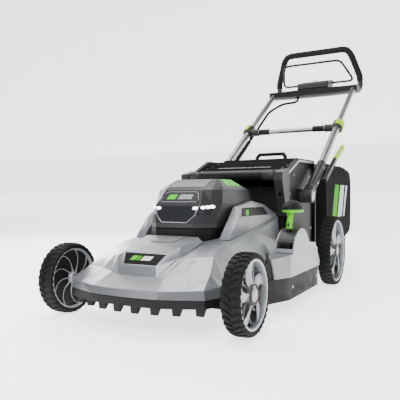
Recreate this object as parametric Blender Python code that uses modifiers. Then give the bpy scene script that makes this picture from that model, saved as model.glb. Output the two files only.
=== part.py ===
"""Cordless push lawn mower, built from separate parts on named pivots.

Units are metres, +Z up. The mower faces -Y, +X is the operator's left, and the design frame has
its zero on the ground under the front wheels. The whole model then moves so that its origin is the
bottom centre of its bounding box. Empties called pivot_... lie on the joint axes.
"""

import math

import bmesh
import bpy
from mathutils import Matrix, Vector

# ---------------------------------------------------------------- driving dimensions
GAP = 0.0003  # between faces that touch
RUN = 0.0005  # radial clearance of a turning or sliding fit

# stance
WHEELBASE = 0.786
FRONT_WHEEL_R = 0.0965
REAR_WHEEL_R = 0.1245
WHEEL_WIDTH = 0.048
FRONT_TRACK_HALF = 0.266
REAR_TRACK_HALF = 0.269
TYRE_DEPTH = 0.0145

# cranked axles and the height linkage
AXLE_R = 0.0055
CRANK_R = 0.085
CRANK_SWING = math.radians(24)  # each side of level, so the deck rises 2 * CRANK_R * sin of it
CRANK_X = 0.2335
TAB_X = 0.2165
TAB_WALL = 0.004
TAB_R = 0.040
LINK_X = 0.224
LINK_R = 0.003
LEVER_X = 0.245
LEVER_SWING = math.radians(50)
LEVER_REST = math.radians(22)  # leaning forward at the lowest cut
LEVER_Y = 0.400

# deck
DECK_HALF_WIDTH = 0.268
DECK_FRONT_Y = 0.108
DECK_REAR_Y = 0.660
SKIRT_BOTTOM = 0.028
PAN_HEIGHT = 0.092
PAN_WALL = 0.004
BLADE_Y = 0.385
BLADE_LENGTH = 0.500
BLADE_Z = 0.046
COVER_WALL = 0.003
LIP_BOTTOM = 0.086
CHANNEL_HALF = 0.094  # half-width of the raised middle panel
CREST_X = 0.172

# battery housing
HOOD_SPLIT = 0.2330
HOOD_TOP = 0.370
HOOD_WALL = 0.003
HOOD_HINGE = (0.446, 0.252)
BASE_FLOOR = 0.194

# rear frame
CHEEK_IN = 0.168
CHEEK_OUT = 0.183
PILLAR_IN = 0.157
PILLAR_OUT = 0.1865
ROLL_Y = 0.497
ROLL_Z = 0.389
ROLL_R = 0.0150
HINGE_R = 0.004
DOOR_REAR = (0.775, 0.462)
DOOR_WALL = 0.004

# handle
TUBE_X = 0.205
TUBE_SLOPE = math.radians(34)
PIVOT_Y = 0.700
PIVOT_Z = 0.321
LOWER_TUBE_R = 0.0150
UPPER_TUBE_R = 0.0125
SOCKET_END = 0.224  # distances along the tube from the fold pivot
LOWER_TUBE_END = 0.545
CLAMP_END = 0.578
UPPER_TUBE_START = 0.350
UPPER_TUBE_END = 0.955
HANDLE_TRAVEL = 0.170
GRIP_R = 0.0155
BAIL_R = 0.0038
CONDUIT_R = 0.0060
SLEEVE_R = 0.0090

# grass bag
BAG_HALF = 0.205
BAG_NECK_HALF = 0.158
BAG_NECK_LENGTH = 0.160
BAG_LENGTH = 0.595
BAG_BOTTOM = 0.112
BAG_TOP = 0.470
BAG_WALL = 0.0030


# ---------------------------------------------------------------- scene and collections
for old in list(bpy.data.objects):
    bpy.data.objects.remove(old, do_unlink=True)

parts = bpy.data.collections.new("lawn_mower")
cutters = bpy.data.collections.new("cutters")
bpy.context.scene.collection.children.link(parts)
bpy.context.scene.collection.children.link(cutters)


def material(name, colour, roughness, metallic=0.0):
    made = bpy.data.materials.new(name)
    made.use_nodes = True
    shader = made.node_tree.nodes["Principled BSDF"]
    shader.inputs["Base Color"].default_value = (*colour, 1.0)
    shader.inputs["Roughness"].default_value = roughness
    shader.inputs["Metallic"].default_value = metallic
    return made


SILVER = material("silver_plastic", (0.62, 0.64, 0.66), 0.35)
BLACK = material("black_plastic", (0.025, 0.025, 0.028), 0.5)
CHARCOAL = material("charcoal_plastic", (0.09, 0.095, 0.10), 0.45)
LIME = material("lime_plastic", (0.55, 0.90, 0.08), 0.4)
RUBBER = material("tyre_rubber", (0.02, 0.02, 0.02), 0.8)
STEEL = material("zinc_steel", (0.50, 0.50, 0.50), 0.35, 1.0)
BLADE_STEEL = material("blade_steel", (0.10, 0.10, 0.11), 0.45, 1.0)
ALUMINIUM = material("aluminium_tube", (0.70, 0.71, 0.73), 0.3, 1.0)
FOAM = material("grip_foam", (0.02, 0.02, 0.022), 0.9)
FABRIC = material("bag_fabric", (0.03, 0.03, 0.032), 0.9)


# ---------------------------------------------------------------- building functions
def empty(name, at, parent=None):
    """A joint's empty, placed in the design frame and carried by its parent."""
    pivot = bpy.data.objects.new(name, None)
    parts.objects.link(pivot)
    pivot["design_place"] = at
    base = Vector(parent["design_place"]) if parent else Vector()
    pivot.location = Vector(at) - base
    pivot.parent = parent
    return pivot


ROOT = empty("mower", (0.0, 0.0, 0.0))


def new_object(name, data, place=Matrix()):
    obj = bpy.data.objects.new(name, data)
    cutters.objects.link(obj)
    obj.matrix_world = place
    obj.hide_render = True
    obj.display_type = "WIRE"
    return obj


def part(obj, name, carrier, colour, smooth=None):
    """Turns a shape into a named part, carried by an empty and keeping its place."""
    obj.name = name
    cutters.objects.unlink(obj)
    parts.objects.link(obj)
    obj.hide_render = False
    obj.display_type = "TEXTURED"
    obj.parent = carrier
    obj.matrix_parent_inverse = Matrix.Translation(-Vector(carrier["design_place"]))
    obj.data.materials.clear()
    obj.data.materials.append(colour)
    if smooth and obj.type == "MESH":
        obj.data.shade_smooth()
        obj.data.set_sharp_from_angle(angle=math.radians(smooth))
    return obj


def mesh_from(bm, name="shape"):
    bm.normal_update()
    bmesh.ops.recalc_face_normals(bm, faces=bm.faces)
    mesh = bpy.data.meshes.new(name)
    bm.to_mesh(mesh)
    bm.free()
    return mesh


def box(low, high, turn=Matrix()):
    """A box between two corners; turn is applied about the design frame's zero."""
    bm = bmesh.new()
    bmesh.ops.create_cube(bm, size=1.0)
    size = Vector(high) - Vector(low)
    middle = (Vector(high) + Vector(low)) / 2
    bmesh.ops.scale(bm, vec=size, verts=bm.verts)
    bmesh.ops.translate(bm, vec=middle, verts=bm.verts)
    return new_object("box", mesh_from(bm), turn)


def frame_along(start, direction):
    """A placement whose +Z runs along a direction."""
    turn = Vector(direction).normalized().to_track_quat("Z", "Y").to_matrix().to_4x4()
    return Matrix.Translation(start) @ turn


def rod(start, end, radius, end_radius=None, sides=24):
    start, end = Vector(start), Vector(end)
    bm = bmesh.new()
    bmesh.ops.create_cone(bm, cap_ends=True, segments=sides, radius1=radius,
                          radius2=radius if end_radius is None else end_radius,
                          depth=(end - start).length)
    return new_object("rod", mesh_from(bm), frame_along((start + end) / 2, end - start))


def ball(centre, radii, rings=10, sides=20):
    bm = bmesh.new()
    bmesh.ops.create_uvsphere(bm, u_segments=sides, v_segments=rings, radius=1.0)
    bmesh.ops.scale(bm, vec=radii, verts=bm.verts)
    return new_object("ball", mesh_from(bm), Matrix.Translation(centre))


def as_mesh(curve_object):
    """The curve's evaluated mesh, with its caps welded, in the curve's place."""
    bpy.context.view_layer.update()
    graph = bpy.context.evaluated_depsgraph_get()
    mesh = bpy.data.meshes.new_from_object(curve_object.evaluated_get(graph))
    bm = bmesh.new()
    bm.from_mesh(mesh)
    bmesh.ops.remove_doubles(bm, verts=bm.verts, dist=1e-5)
    bmesh.ops.recalc_face_normals(bm, faces=bm.faces)
    bm.to_mesh(mesh)
    bm.free()
    made = new_object(curve_object.name, mesh, curve_object.matrix_world.copy())
    bpy.data.objects.remove(curve_object, do_unlink=True)
    return made


def curve_object(dimensions, strands, closed):
    curve = bpy.data.curves.new("outline", "CURVE")
    curve.dimensions = dimensions
    for strand in strands:
        spline = curve.splines.new("POLY")
        spline.points.add(len(strand) - 1)
        for point, at in zip(spline.points, strand):
            point.co = (*at, 1.0) if len(at) == 3 else (*at, 0.0, 1.0)
        spline.use_cyclic_u = closed
    return new_object("curve", curve)


SIDE_ON = Matrix(((0, 0, 1, 0), (1, 0, 0, 0), (0, 1, 0, 0), (0, 0, 0, 1)))


def plate(outline, low, high, side_on=False):
    """A flat outline with thickness. Side on, the outline is (y, z) and the thickness runs in X;
    otherwise it is (x, y) and the thickness runs in Z."""
    obj = curve_object("2D", [outline], True)
    obj.data.fill_mode = "BOTH"
    obj.data.extrude = (high - low) / 2
    middle = (high + low) / 2
    if side_on:
        obj.matrix_world = Matrix.Translation((middle, 0, 0)) @ SIDE_ON
    else:
        obj.matrix_world = Matrix.Translation((0, 0, middle))
    return as_mesh(obj)


def pipe(points, radius, closed=False, fineness=4):
    obj = curve_object("3D", [points], closed)
    obj.data.bevel_depth = radius
    obj.data.bevel_resolution = fineness
    obj.data.use_fill_caps = not closed
    return as_mesh(obj)


def turned(profile, place, steps=40):
    """A profile of (radius, height) points turned about the placement's +Z. It closes on itself,
    or on the axis where it starts and ends there."""
    bm = bmesh.new()
    ring = [bm.verts.new((r, 0.0, h)) for r, h in profile]
    for first, second in zip(ring, ring[1:]):
        bm.edges.new((first, second))
    if profile[0][0] or profile[-1][0]:
        bm.edges.new((ring[-1], ring[0]))
    mesh = bpy.data.meshes.new("profile")
    bm.to_mesh(mesh)
    bm.free()
    obj = new_object("turned", mesh, place)
    screw = obj.modifiers.new("turn", "SCREW")
    screw.steps = steps
    screw.render_steps = steps
    screw.use_merge_vertices = True
    screw.merge_threshold = 0.00005
    return applied(obj)


def applied(obj):
    """The object with its modifiers made real, and with its faces pointing out."""
    bpy.context.view_layer.update()
    graph = bpy.context.evaluated_depsgraph_get()
    mesh = bpy.data.meshes.new_from_object(obj.evaluated_get(graph))
    obj.modifiers.clear()
    obj.data = mesh
    bm = bmesh.new()
    bm.from_mesh(mesh)
    bmesh.ops.recalc_face_normals(bm, faces=bm.faces)
    bm.to_mesh(mesh)
    bm.free()
    return obj


def boolean(obj, other, operation):
    modifier = obj.modifiers.new(operation.lower(), "BOOLEAN")
    modifier.operation = operation
    modifier.object = other
    modifier.solver = "EXACT"
    return obj


def cut(obj, *tools):
    for tool in tools:
        boolean(obj, tool, "DIFFERENCE")
    return obj


def join(obj, *others):
    for other in others:
        boolean(obj, other, "UNION")
    return obj


def bevelled(obj, width, segments=1, angle=40):
    bevel = obj.modifiers.new("edges", "BEVEL")
    bevel.width = width
    bevel.segments = segments
    bevel.limit_method = "ANGLE"
    bevel.angle_limit = math.radians(angle)
    return applied(obj)


def loft(ribs, closed_ribs=False, cap_first=False, cap_last=False):
    """A skin through ribs that all have the same number of points."""
    bm = bmesh.new()
    rows = [[bm.verts.new(point) for point in rib] for rib in ribs]
    for row, following in zip(rows, rows[1:]):
        count = len(row) if closed_ribs else len(row) - 1
        for i in range(count):
            j = (i + 1) % len(row)
            bm.faces.new((row[i], row[j], following[j], following[i]))
    if cap_first:
        bm.faces.new(rows[0])
    if cap_last:
        bm.faces.new(rows[-1])
    bmesh.ops.remove_doubles(bm, verts=bm.verts, dist=1e-6)
    bmesh.ops.triangulate(bm, faces=bm.faces)
    return new_object("loft", mesh_from(bm))


def mirrored(half):
    """A rib from the +X edge over the middle to the -X edge, from its +X half."""
    return [Vector(p) for p in reversed(half)] + [Vector((-p[0], p[1], p[2])) for p in half if p[0]]


def flip_x(obj):
    """A mirror copy on the other side of the mower."""
    bm = bmesh.new()
    bm.from_mesh(obj.data)
    bm.transform(Matrix.Scale(-1, 4, (1, 0, 0)) @ obj.matrix_world)
    return new_object("mirror", mesh_from(bm))


def walled(obj, wall, outward=False):
    thick = obj.modifiers.new("wall", "SOLIDIFY")
    thick.thickness = wall
    thick.offset = 1.0 if outward else -1.0
    thick.use_even_offset = True
    return applied(obj)


def arc(centre, radius, start, end, steps):
    """Points on an arc, from angle start to end in degrees."""
    found = []
    for i in range(steps + 1):
        angle = math.radians(start + (end - start) * i / steps)
        found.append((centre[0] + radius * math.cos(angle), centre[1] + radius * math.sin(angle)))
    return found


def smooth_route(points, step):
    """Points read along a Catmull-Rom curve through the route's own points."""
    route = [Vector(p) for p in points]
    route = [route[0] * 2 - route[1]] + route + [route[-1] * 2 - route[-2]]
    found = []
    for a, b, c, d in zip(route, route[1:], route[2:], route[3:]):
        pieces = max(1, round((c - b).length / step))
        for i in range(pieces):
            t = i / pieces
            found.append(0.5 * (2 * b + (c - a) * t + (2 * a - 5 * b + 4 * c - d) * t * t
                                + (3 * b - a - 3 * c + d) * t * t * t))
    return found + [route[-2]]


# ---------------------------------------------------------------- derived places
CRANK_RISE = CRANK_R * math.sin(CRANK_SWING)
CRANK_REACH = CRANK_R * math.cos(CRANK_SWING)
FRONT_AXLE = (0.0, CRANK_REACH, FRONT_WHEEL_R - CRANK_RISE)
REAR_AXLE = (0.0, WHEELBASE + CRANK_REACH, REAR_WHEEL_R - CRANK_RISE)
TAB_PIN = Vector((0.0, TAB_R * math.sin(CRANK_SWING), TAB_R * math.cos(CRANK_SWING)))
LEVER_ARM = TAB_R * math.sin(CRANK_SWING) / math.sin(LEVER_SWING / 2)
ALONG = Vector((0.0, math.cos(TUBE_SLOPE), math.sin(TUBE_SLOPE)))
ACROSS = Vector((0.0, -math.sin(TUBE_SLOPE), math.cos(TUBE_SLOPE)))


def link_z(y):
    """Height of the link rod's centre line at a place along the mower."""
    start = Vector(FRONT_AXLE) + TAB_PIN
    end = Vector(REAR_AXLE) + TAB_PIN
    return start.z + (end.z - start.z) * (y - start.y) / (end.y - start.y)


LEVER_LOWER = LEVER_ARM * math.cos(LEVER_SWING / 2)
LEVER_Z = link_z(LEVER_Y) + LEVER_LOWER
LEVER_FOOT_Z = LEVER_Z - (LEVER_ARM + 0.008) * math.cos(LEVER_SWING / 2) - 0.0085 * math.sin(LEVER_SWING / 2)
PAN_ROOF = min(PAN_HEIGHT, LEVER_FOOT_Z - 0.001)  # the lever's foot swings clear over the skirt's roof
CHEEK_REAR = REAR_AXLE[1] + 0.02235
GATE_R = 0.080


def on_tube(side, distance, lift=0.0, outward=0.0):
    """A place measured along a handle tube from the fold pivot, lifted square to the tube."""
    base = Vector((side * (TUBE_X + outward), PIVOT_Y, PIVOT_Z))
    return base + ALONG * distance + ACROSS * lift


def tube_frame(side, distance, outward=0.0, lift=0.0):
    """Placement on a handle tube: X across the mower, Y square to the tube, Z along it."""
    at = on_tube(side, distance, lift, outward)
    turn = Matrix((Vector((1, 0, 0)), ACROSS, ALONG)).transposed().to_4x4()
    if turn.determinant() < 0:
        turn = Matrix((Vector((1, 0, 0)), -ACROSS, ALONG)).transposed().to_4x4()
    return Matrix.Translation(at) @ turn


# ---------------------------------------------------------------- wheels
def wheel(prefix, radius, track, at, carrier):
    """A tyre on a spoked rim; the rim's hub runs on the axle's stub."""
    side = 1 if at[0] > 0 else -1
    spin = empty("pivot_" + prefix, at, carrier)
    facing = frame_along(at, (side, 0, 0))
    half = WHEEL_WIDTH / 2
    seat = radius - TYRE_DEPTH
    tyre = turned([(seat, half - 0.004), (seat + 0.006, half), (radius - 0.005, half - 0.003),
                   (radius, half - 0.011), (radius, -half + 0.011),
                   (radius - 0.005, -half + 0.003), (seat + 0.006, -half), (seat, -half + 0.004)],
                  facing, 36)
    part(tyre, prefix + "_tyre", spin, RUBBER, 35)
    rim_r = seat - GAP
    lip = rim_r - 0.007
    hub = 0.019
    bore = AXLE_R + RUN
    disc_out, disc_in = half - 0.010, half - 0.015
    rim = turned([(rim_r, half - 0.002), (rim_r, -half + 0.002), (lip, -half + 0.004),
                  (lip, disc_in), (hub, disc_in + 0.004), (hub, -half + 0.001), (bore, -half + 0.001),
                  (bore, half - 0.004), (hub, half - 0.004), (hub, disc_out + 0.003),
                  (lip, disc_out), (lip, half - 0.004)], facing, 36)
    windows = []
    count = 5
    for i in range(count):
        middle = 360 * (i + 0.5) / count + 90
        spread = 0.5 * 360 / count * 0.62
        outer_spread = 0.5 * 360 / count * 0.78
        outline = (arc((0, 0), lip - 0.004, middle - outer_spread, middle + outer_spread, 5)
                   + arc((0, 0), hub + 0.010, middle + spread, middle - spread, 2))
        window = plate(outline, disc_in - 0.004, disc_out + 0.006)
        window.matrix_world = facing @ window.matrix_world
        windows.append(window)
    cut(rim, *windows)
    part(rim, prefix + "_rim", spin, SILVER, 35)


def cranked_axle(name, pivot, wheel_y, wheel_z, track, carrier):
    """A bent rod: a stub for each wheel, two crank arms and the bar that turns in the deck."""
    tip = track + WHEEL_WIDTH / 2 - 0.006
    y, z = pivot[1], pivot[2]
    half = [(tip, wheel_y, wheel_z), (CRANK_X, wheel_y, wheel_z), (CRANK_X, y, z)]
    route = half + [(-p[0], p[1], p[2]) for p in reversed(half)]
    bar = pipe(route, AXLE_R, fineness=3)
    pin = Vector(pivot) + TAB_PIN
    tab = rod((TAB_X - TAB_WALL / 2, y, z), (TAB_X + TAB_WALL / 2, y, z), 0.011, sides=16)
    eye = rod((TAB_X - TAB_WALL / 2, pin.y, pin.z), (TAB_X + TAB_WALL / 2, pin.y, pin.z), 0.0075,
              sides=16)
    turn = Matrix.Translation(pivot) @ Matrix.Rotation(-CRANK_SWING, 4, "X")
    web_half = TAB_WALL / 2 - 0.0002
    web = box((TAB_X - web_half, -0.006, 0), (TAB_X + web_half, 0.006, TAB_R), turn)
    hole = rod((TAB_X - 0.01, pin.y, pin.z), (TAB_X + 0.01, pin.y, pin.z), LINK_R + RUN, sides=16)
    join(bar, tab, web, eye)
    cut(bar, hole)
    return part(bar, name, carrier, STEEL, 40)


front_crank = empty("pivot_front_axle", FRONT_AXLE, ROOT)
rear_crank = empty("pivot_rear_axle", REAR_AXLE, ROOT)
cranked_axle("front_axle", FRONT_AXLE, 0.0, FRONT_WHEEL_R, FRONT_TRACK_HALF, front_crank)
cranked_axle("rear_axle", REAR_AXLE, WHEELBASE, REAR_WHEEL_R, REAR_TRACK_HALF, rear_crank)
for word, side in (("left", 1), ("right", -1)):
    wheel(f"front_wheel_{word}", FRONT_WHEEL_R, FRONT_TRACK_HALF,
          (side * FRONT_TRACK_HALF, 0.0, FRONT_WHEEL_R), front_crank)
    wheel(f"rear_wheel_{word}", REAR_WHEEL_R, REAR_TRACK_HALF,
          (side * REAR_TRACK_HALF, WHEELBASE, REAR_WHEEL_R), rear_crank)

# ---------------------------------------------------------------- link rod between the cranks
link_start = Vector(FRONT_AXLE) + TAB_PIN
link_end = Vector(REAR_AXLE) + TAB_PIN
link_pivot = empty("pivot_link_rod", (LINK_X, link_start.y, link_start.z), front_crank)
pin_tip = TAB_X - TAB_WALL / 2
link_pin_y = LEVER_Y + LEVER_ARM * math.sin(LEVER_SWING / 2)
link = pipe([(pin_tip, link_start.y, link_start.z), (LINK_X, link_start.y, link_start.z),
             (LINK_X, link_end.y, link_end.z), (pin_tip, link_end.y, link_end.z)], LINK_R, fineness=3)
drive_z = link_z(link_pin_y)
drive_pin = rod((LINK_X, link_pin_y, drive_z), (LEVER_X + 0.006, link_pin_y, drive_z), LINK_R - 0.0002,
                sides=16)
join(link, drive_pin)
part(link, "link_rod", link_pivot, STEEL, 40)

# ---------------------------------------------------------------- deck pan: black skirt and blade chamber
PAN_HALF = [(0.165, DECK_FRONT_Y), (0.212, 0.150), (0.242, 0.235),
            (DECK_HALF_WIDTH, 0.302), (DECK_HALF_WIDTH, 0.598), (0.225, 0.655), (0.160, DECK_REAR_Y)]


def pan_outline(inset):
    """The pan's plan, drawn in towards the middle of the blade by the wall."""
    found = []
    for x, y in PAN_HALF:
        out = Vector((x, y - BLADE_Y))
        scale = (out.length - inset) / out.length
        found.append((out.x * scale, BLADE_Y + out.y * scale))
    return found + [(-x, y) for x, y in reversed(found)]


pan = plate(pan_outline(0.0), SKIRT_BOTTOM, PAN_ROOF)
chamber = plate(pan_outline(PAN_WALL), SKIRT_BOTTOM - 0.02, PAN_ROOF - PAN_WALL)
CHUTE_HALF = 0.150
chute_hole = box((-CHUTE_HALF, 0.546, PAN_ROOF - 0.02), (CHUTE_HALF, 0.642, PAN_ROOF + 0.02))
MOTOR_R = 0.078
motor_hole = rod((0, BLADE_Y, PAN_ROOF - 0.02), (0, BLADE_Y, PAN_ROOF + 0.02), 0.016)
FLAP_LOW, FLAP_HIGH = 0.360, 0.560
side_port = box((-DECK_HALF_WIDTH - 0.01, FLAP_LOW + 0.008, SKIRT_BOTTOM + 0.012),
                (-DECK_HALF_WIDTH + 0.02, FLAP_HIGH - 0.008, PAN_ROOF - 0.016))
axle_ears = []
for side in (1, -1):
    ear_in, ear_out = side * 0.196, side * 0.206
    ear = box((min(ear_in, ear_out), FRONT_AXLE[1] - 0.014, 0.048),
              (max(ear_in, ear_out), DECK_FRONT_Y + 0.06, PAN_ROOF - 0.001))
    axle_ears.append(ear)
front_bearing = rod((-0.25, *FRONT_AXLE[1:]), (0.25, *FRONT_AXLE[1:]), AXLE_R + RUN)
ARCH_Y, ARCH_Z, ARCH_R = 0.055, FRONT_WHEEL_R - 0.020, 0.190
fender_plan = [(0.2330, 0.2195), (0.2405, 0.2410), (0.2665, 0.3050), (0.2628, 0.3065), (0.2368, 0.2425),
               (0.2293, 0.2210)]
fender = plate(fender_plan, PAN_ROOF - 0.001, 0.172)
boolean(fender, rod((0.10, ARCH_Y, ARCH_Z), (0.40, ARCH_Y, ARCH_Z), ARCH_R - 0.0015, sides=48), "INTERSECT")
fender = applied(fender)
join(pan, fender, flip_x(fender), *axle_ears)
cut(pan, chamber, chute_hole, motor_hole, side_port, front_bearing)
part(pan, "deck_pan", ROOT, BLACK, 30)

# ---------------------------------------------------------------- silver deck cover
TOP_LINE = [(0.120, 0.196), (0.300, 0.222), (0.530, 0.254)]


def top_z(y):
    """Height of the cover's flat top behind the nose."""
    for (y0, z0), (y1, z1) in zip(TOP_LINE, TOP_LINE[1:]):
        if y <= y1:
            return z0 + (z1 - z0) * (y - y0) / (y1 - y0)
    return TOP_LINE[-1][1]


lip_foot = [(0.0, -0.115), (0.062, -0.113), (0.096, -0.108), (0.150, -0.087), (0.194, -0.067),
            (0.209, -0.020)]
lip_head = [(0.0, -0.110, 0.103), (0.062, -0.108, 0.103), (0.092, -0.104, 0.104),
            (0.148, -0.084, 0.106), (0.190, -0.064, 0.108), (0.206, -0.018, 0.110)]
cover_ribs = [
    [(x, y, LIP_BOTTOM) for x, y in lip_foot],
    lip_head,
    [(0.0, -0.055, 0.126), (0.064, -0.054, 0.127), (0.080, -0.048, 0.131), (0.125, -0.028, 0.137),
     (0.180, -0.012, 0.138), (0.208, 0.010, 0.112)],
    [(0.0, -0.004, 0.166), (CHANNEL_HALF, -0.003, 0.168), (0.108, 0.006, 0.169), (0.132, 0.022, 0.170),
     (0.163, 0.040, 0.171), (0.210, 0.052, 0.114)],
    [(0.0, 0.120, top_z(0.12)), (CHANNEL_HALF, 0.120, top_z(0.12)), (0.120, 0.120, top_z(0.12)),
     (0.150, 0.120, top_z(0.12) - 0.001), (CREST_X - 0.003, 0.122, 0.190), (0.212, 0.122, 0.128)],
    [(0.0, 0.300, top_z(0.3)), (CHANNEL_HALF, 0.300, top_z(0.3)), (0.120, 0.300, top_z(0.3)),
     (0.150, 0.300, top_z(0.3)), (CREST_X, 0.300, 0.217), (0.214, 0.300, 0.152)],
    [(0.0, 0.530, top_z(0.53)), (CHANNEL_HALF, 0.530, top_z(0.53)), (0.120, 0.530, top_z(0.53)),
     (0.150, 0.530, top_z(0.53)), (0.154, 0.530, 0.250), (0.160, 0.530, 0.176)],
]
SIDE_FOOT = [(-0.020, 0.209), (-0.018, 0.210), (0.010, 0.212), (0.052, 0.2125), (0.122, 0.213),
             (0.300, 0.2135), (0.530, 0.162)]
for rib, (y, x) in zip(cover_ribs, SIDE_FOOT):
    foot = LIP_BOTTOM if y < 0.11 else PAN_ROOF + 0.0013
    rib.append((x, y, foot))
cover = walled(loft([mirrored(rib) for rib in cover_ribs]), COVER_WALL)
part(cover, "deck_cover", ROOT, SILVER, 20)

# the battery housing stands in a hole of its own plan through the cover
BASE_PLAN = [(0.0, 0.1190), (0.058, 0.1210), (0.086, 0.142), (0.104, 0.172), (0.114, 0.260), (0.114, 0.380),
             (0.106, 0.434)]


def base_loop(margin):
    """The battery housing's plan, grown by a margin."""
    half = []
    for x, y in BASE_PLAN:
        out = Vector((x, y - 0.285))
        grown = out * (out.length + margin) / out.length
        half.append((grown.x, 0.285 + grown.y))
    return half + [(-x, y) for x, y in reversed(half) if x]


cut(cover, plate(base_loop(0.0008), 0.10, 0.30))

# ---------------------------------------------------------------- raised middle panel on the nose
panel_ribs = [
    [(0.0, -0.055, 0.1275), (0.057, -0.053, 0.1285), (0.060, -0.052, 0.1285)],
    [(0.0, -0.046, 0.149), (0.049, -0.044, 0.150), (0.060, -0.050, 0.131)],
    [(0.0, -0.012, 0.178), (0.066, -0.010, 0.180), (0.088, -0.006, 0.168)],
    [(0.0, 0.030, 0.192), (0.076, 0.030, 0.193), (CHANNEL_HALF - 0.001, 0.030, 0.177)],
    [(0.0, 0.112, 0.212), (0.080, 0.112, 0.212), (CHANNEL_HALF - 0.001, 0.116, 0.1985)],
]
panel = walled(loft([mirrored(rib) for rib in panel_ribs]), 0.0025)
raised = [[p + Vector((0, 0, 0.0004)) for p in mirrored(rib)] for rib in cover_ribs]
cut(panel, loft(raised, closed_ribs=True, cap_first=True, cap_last=True))
part(panel, "nose_panel", ROOT, SILVER, 20)

# ---------------------------------------------------------------- black bumper strip with comb teeth
bumper_top, bumper_low = LIP_BOTTOM - 0.0013, 0.066
outer = lip_foot + [(0.2105, 0.045)]
inner = [(x * 0.93, y + 0.014) for x, y in outer[:-1]] + [(0.2105 * 0.93, 0.045)]
bumper_loop = ([(-x, y) for x, y in reversed(outer[1:])] + outer
               + inner[::-1] + [(-x, y) for x, y in inner[1:]])
bumper = plate(bumper_loop, bumper_low, bumper_top)
teeth = []
TOOTH_COUNT = 8
for i in range(TOOTH_COUNT):
    x = -0.175 + 0.35 * i / (TOOTH_COUNT - 1)
    y = -0.100 + 0.044 * (abs(x) / 0.175) ** 2
    teeth.append(plate([(y - 0.004, bumper_low + 0.003), (y + 0.026, bumper_low + 0.003),
                        (y + 0.006, bumper_low - 0.020), (y, bumper_low - 0.020)],
                       x - 0.009, x + 0.009, side_on=True))
join(bumper, *teeth)
part(bumper, "front_bumper", ROOT, BLACK, 30)

# ---------------------------------------------------------------- side blocks over the skirt
BLOCK_IN, BLOCK_OUT = 0.2165, 0.272
BLOCK_LOW = PAN_ROOF + GAP
EAR_ARC = arc((LEVER_Y + 0.008, LEVER_Z - 0.006), GATE_R + 0.006, 158, 28, 12)
BLOCK_SIDE = ([(0.150, BLOCK_LOW), (0.150, 0.128), (0.205, 0.146), (0.325, 0.156)] + EAR_ARC
              + [(0.556, 0.172), (0.604, 0.112), (0.604, BLOCK_LOW)])
FRONT_CUT = [(0.100, 0.10), (0.2125, 0.150), (0.2425, 0.235), (BLOCK_OUT, 0.3025), (0.40, 0.3025),
             (0.40, -0.10), (0.10, -0.10)]


def side_block(name, side, with_gate):
    """A silver cover over the skirt. The left one holds the height lever between two ears."""
    block = plate(BLOCK_SIDE, BLOCK_IN, BLOCK_OUT, side_on=True)
    diagonal = plate(FRONT_CUT, 0.0, 0.4)
    hollow_side = [(y + (0.004 if y < 0.3 else -0.004), z - (0.004 if z > 0.1 else 0.03))
                   for y, z in [(0.150, BLOCK_LOW), (0.150, 0.128), (0.205, 0.146), (0.325, 0.156)]]
    hollow_side += [(y, z - 0.002) for y, z in
                    arc((LEVER_Y + 0.008, LEVER_Z - 0.006), GATE_R + 0.001, 158, 28, 10)]
    hollow_side += [(0.552, 0.168), (0.600, 0.110), (0.600, BLOCK_LOW - 0.03)]
    hollow = plate(hollow_side, BLOCK_IN + 0.004, BLOCK_OUT - 0.004, side_on=True)
    hollow_cut = plate([(x - 0.003, y + 0.004) for x, y in FRONT_CUT[:4]]
                       + [(0.40, 0.3065), (0.40, -0.10), (0.10, -0.10)], 0.0, 0.4)
    cut(hollow, hollow_cut)
    cut(block, diagonal, hollow)
    arch = rod((0.10, ARCH_Y, ARCH_Z), (0.40, ARCH_Y, ARCH_Z), ARCH_R, sides=48)
    cut(block, arch)
    link_way = box((LINK_X - 0.008, 0.10, BLOCK_LOW - 0.02), (LINK_X + 0.008, 0.72, 0.132))
    cut(block, link_way)
    if with_gate:
        gate_way = box((BLOCK_IN + 0.004, LEVER_Y - 0.072, 0.150),
                       (BLOCK_OUT - 0.004, LEVER_Y + 0.095, 0.30))
        cut(block, gate_way)
        pin = rod((LEVER_X - 0.012, LEVER_Y, LEVER_Z), (BLOCK_OUT - 0.002, LEVER_Y, LEVER_Z), 0.004,
                  sides=20)
        join(block, pin)
    if side < 0:
        block = flip_x(applied(block))
    return part(block, name, ROOT, SILVER, 25)


side_block("side_block_left", 1, True)
side_block("side_block_right", -1, False)

# curved gate plate with the lever's slot
gate_outline = (arc((LEVER_Y, LEVER_Z), GATE_R, 148, 40, 14)
                + arc((LEVER_Y, LEVER_Z), GATE_R - 0.004, 40, 148, 14))
gate = plate(gate_outline, BLOCK_IN + 0.004 + GAP, BLOCK_OUT - 0.004 - GAP, side_on=True)
slot_outline = (arc((LEVER_Y, LEVER_Z), GATE_R + 0.01, 90 + 27, 90 - 37, 12)
                + arc((LEVER_Y, LEVER_Z), GATE_R - 0.02, 90 - 37, 90 + 27, 12))
cut(gate, plate(slot_outline, LEVER_X - 0.0055, LEVER_X + 0.0055, side_on=True))
part(gate, "lever_gate", ROOT, CHARCOAL, 25)

# ---------------------------------------------------------------- height lever
lever_pivot = empty("pivot_height_lever", (LEVER_X, LEVER_Y, LEVER_Z), ROOT)


def lever_point(reach, across=0.0):
    """A (y, z) place on the lever, measured from its pivot along its upper arm."""
    y = LEVER_Y - math.sin(LEVER_REST) * reach + math.cos(LEVER_REST) * across
    z = LEVER_Z + math.cos(LEVER_REST) * reach + math.sin(LEVER_REST) * across
    return (y, z)


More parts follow.
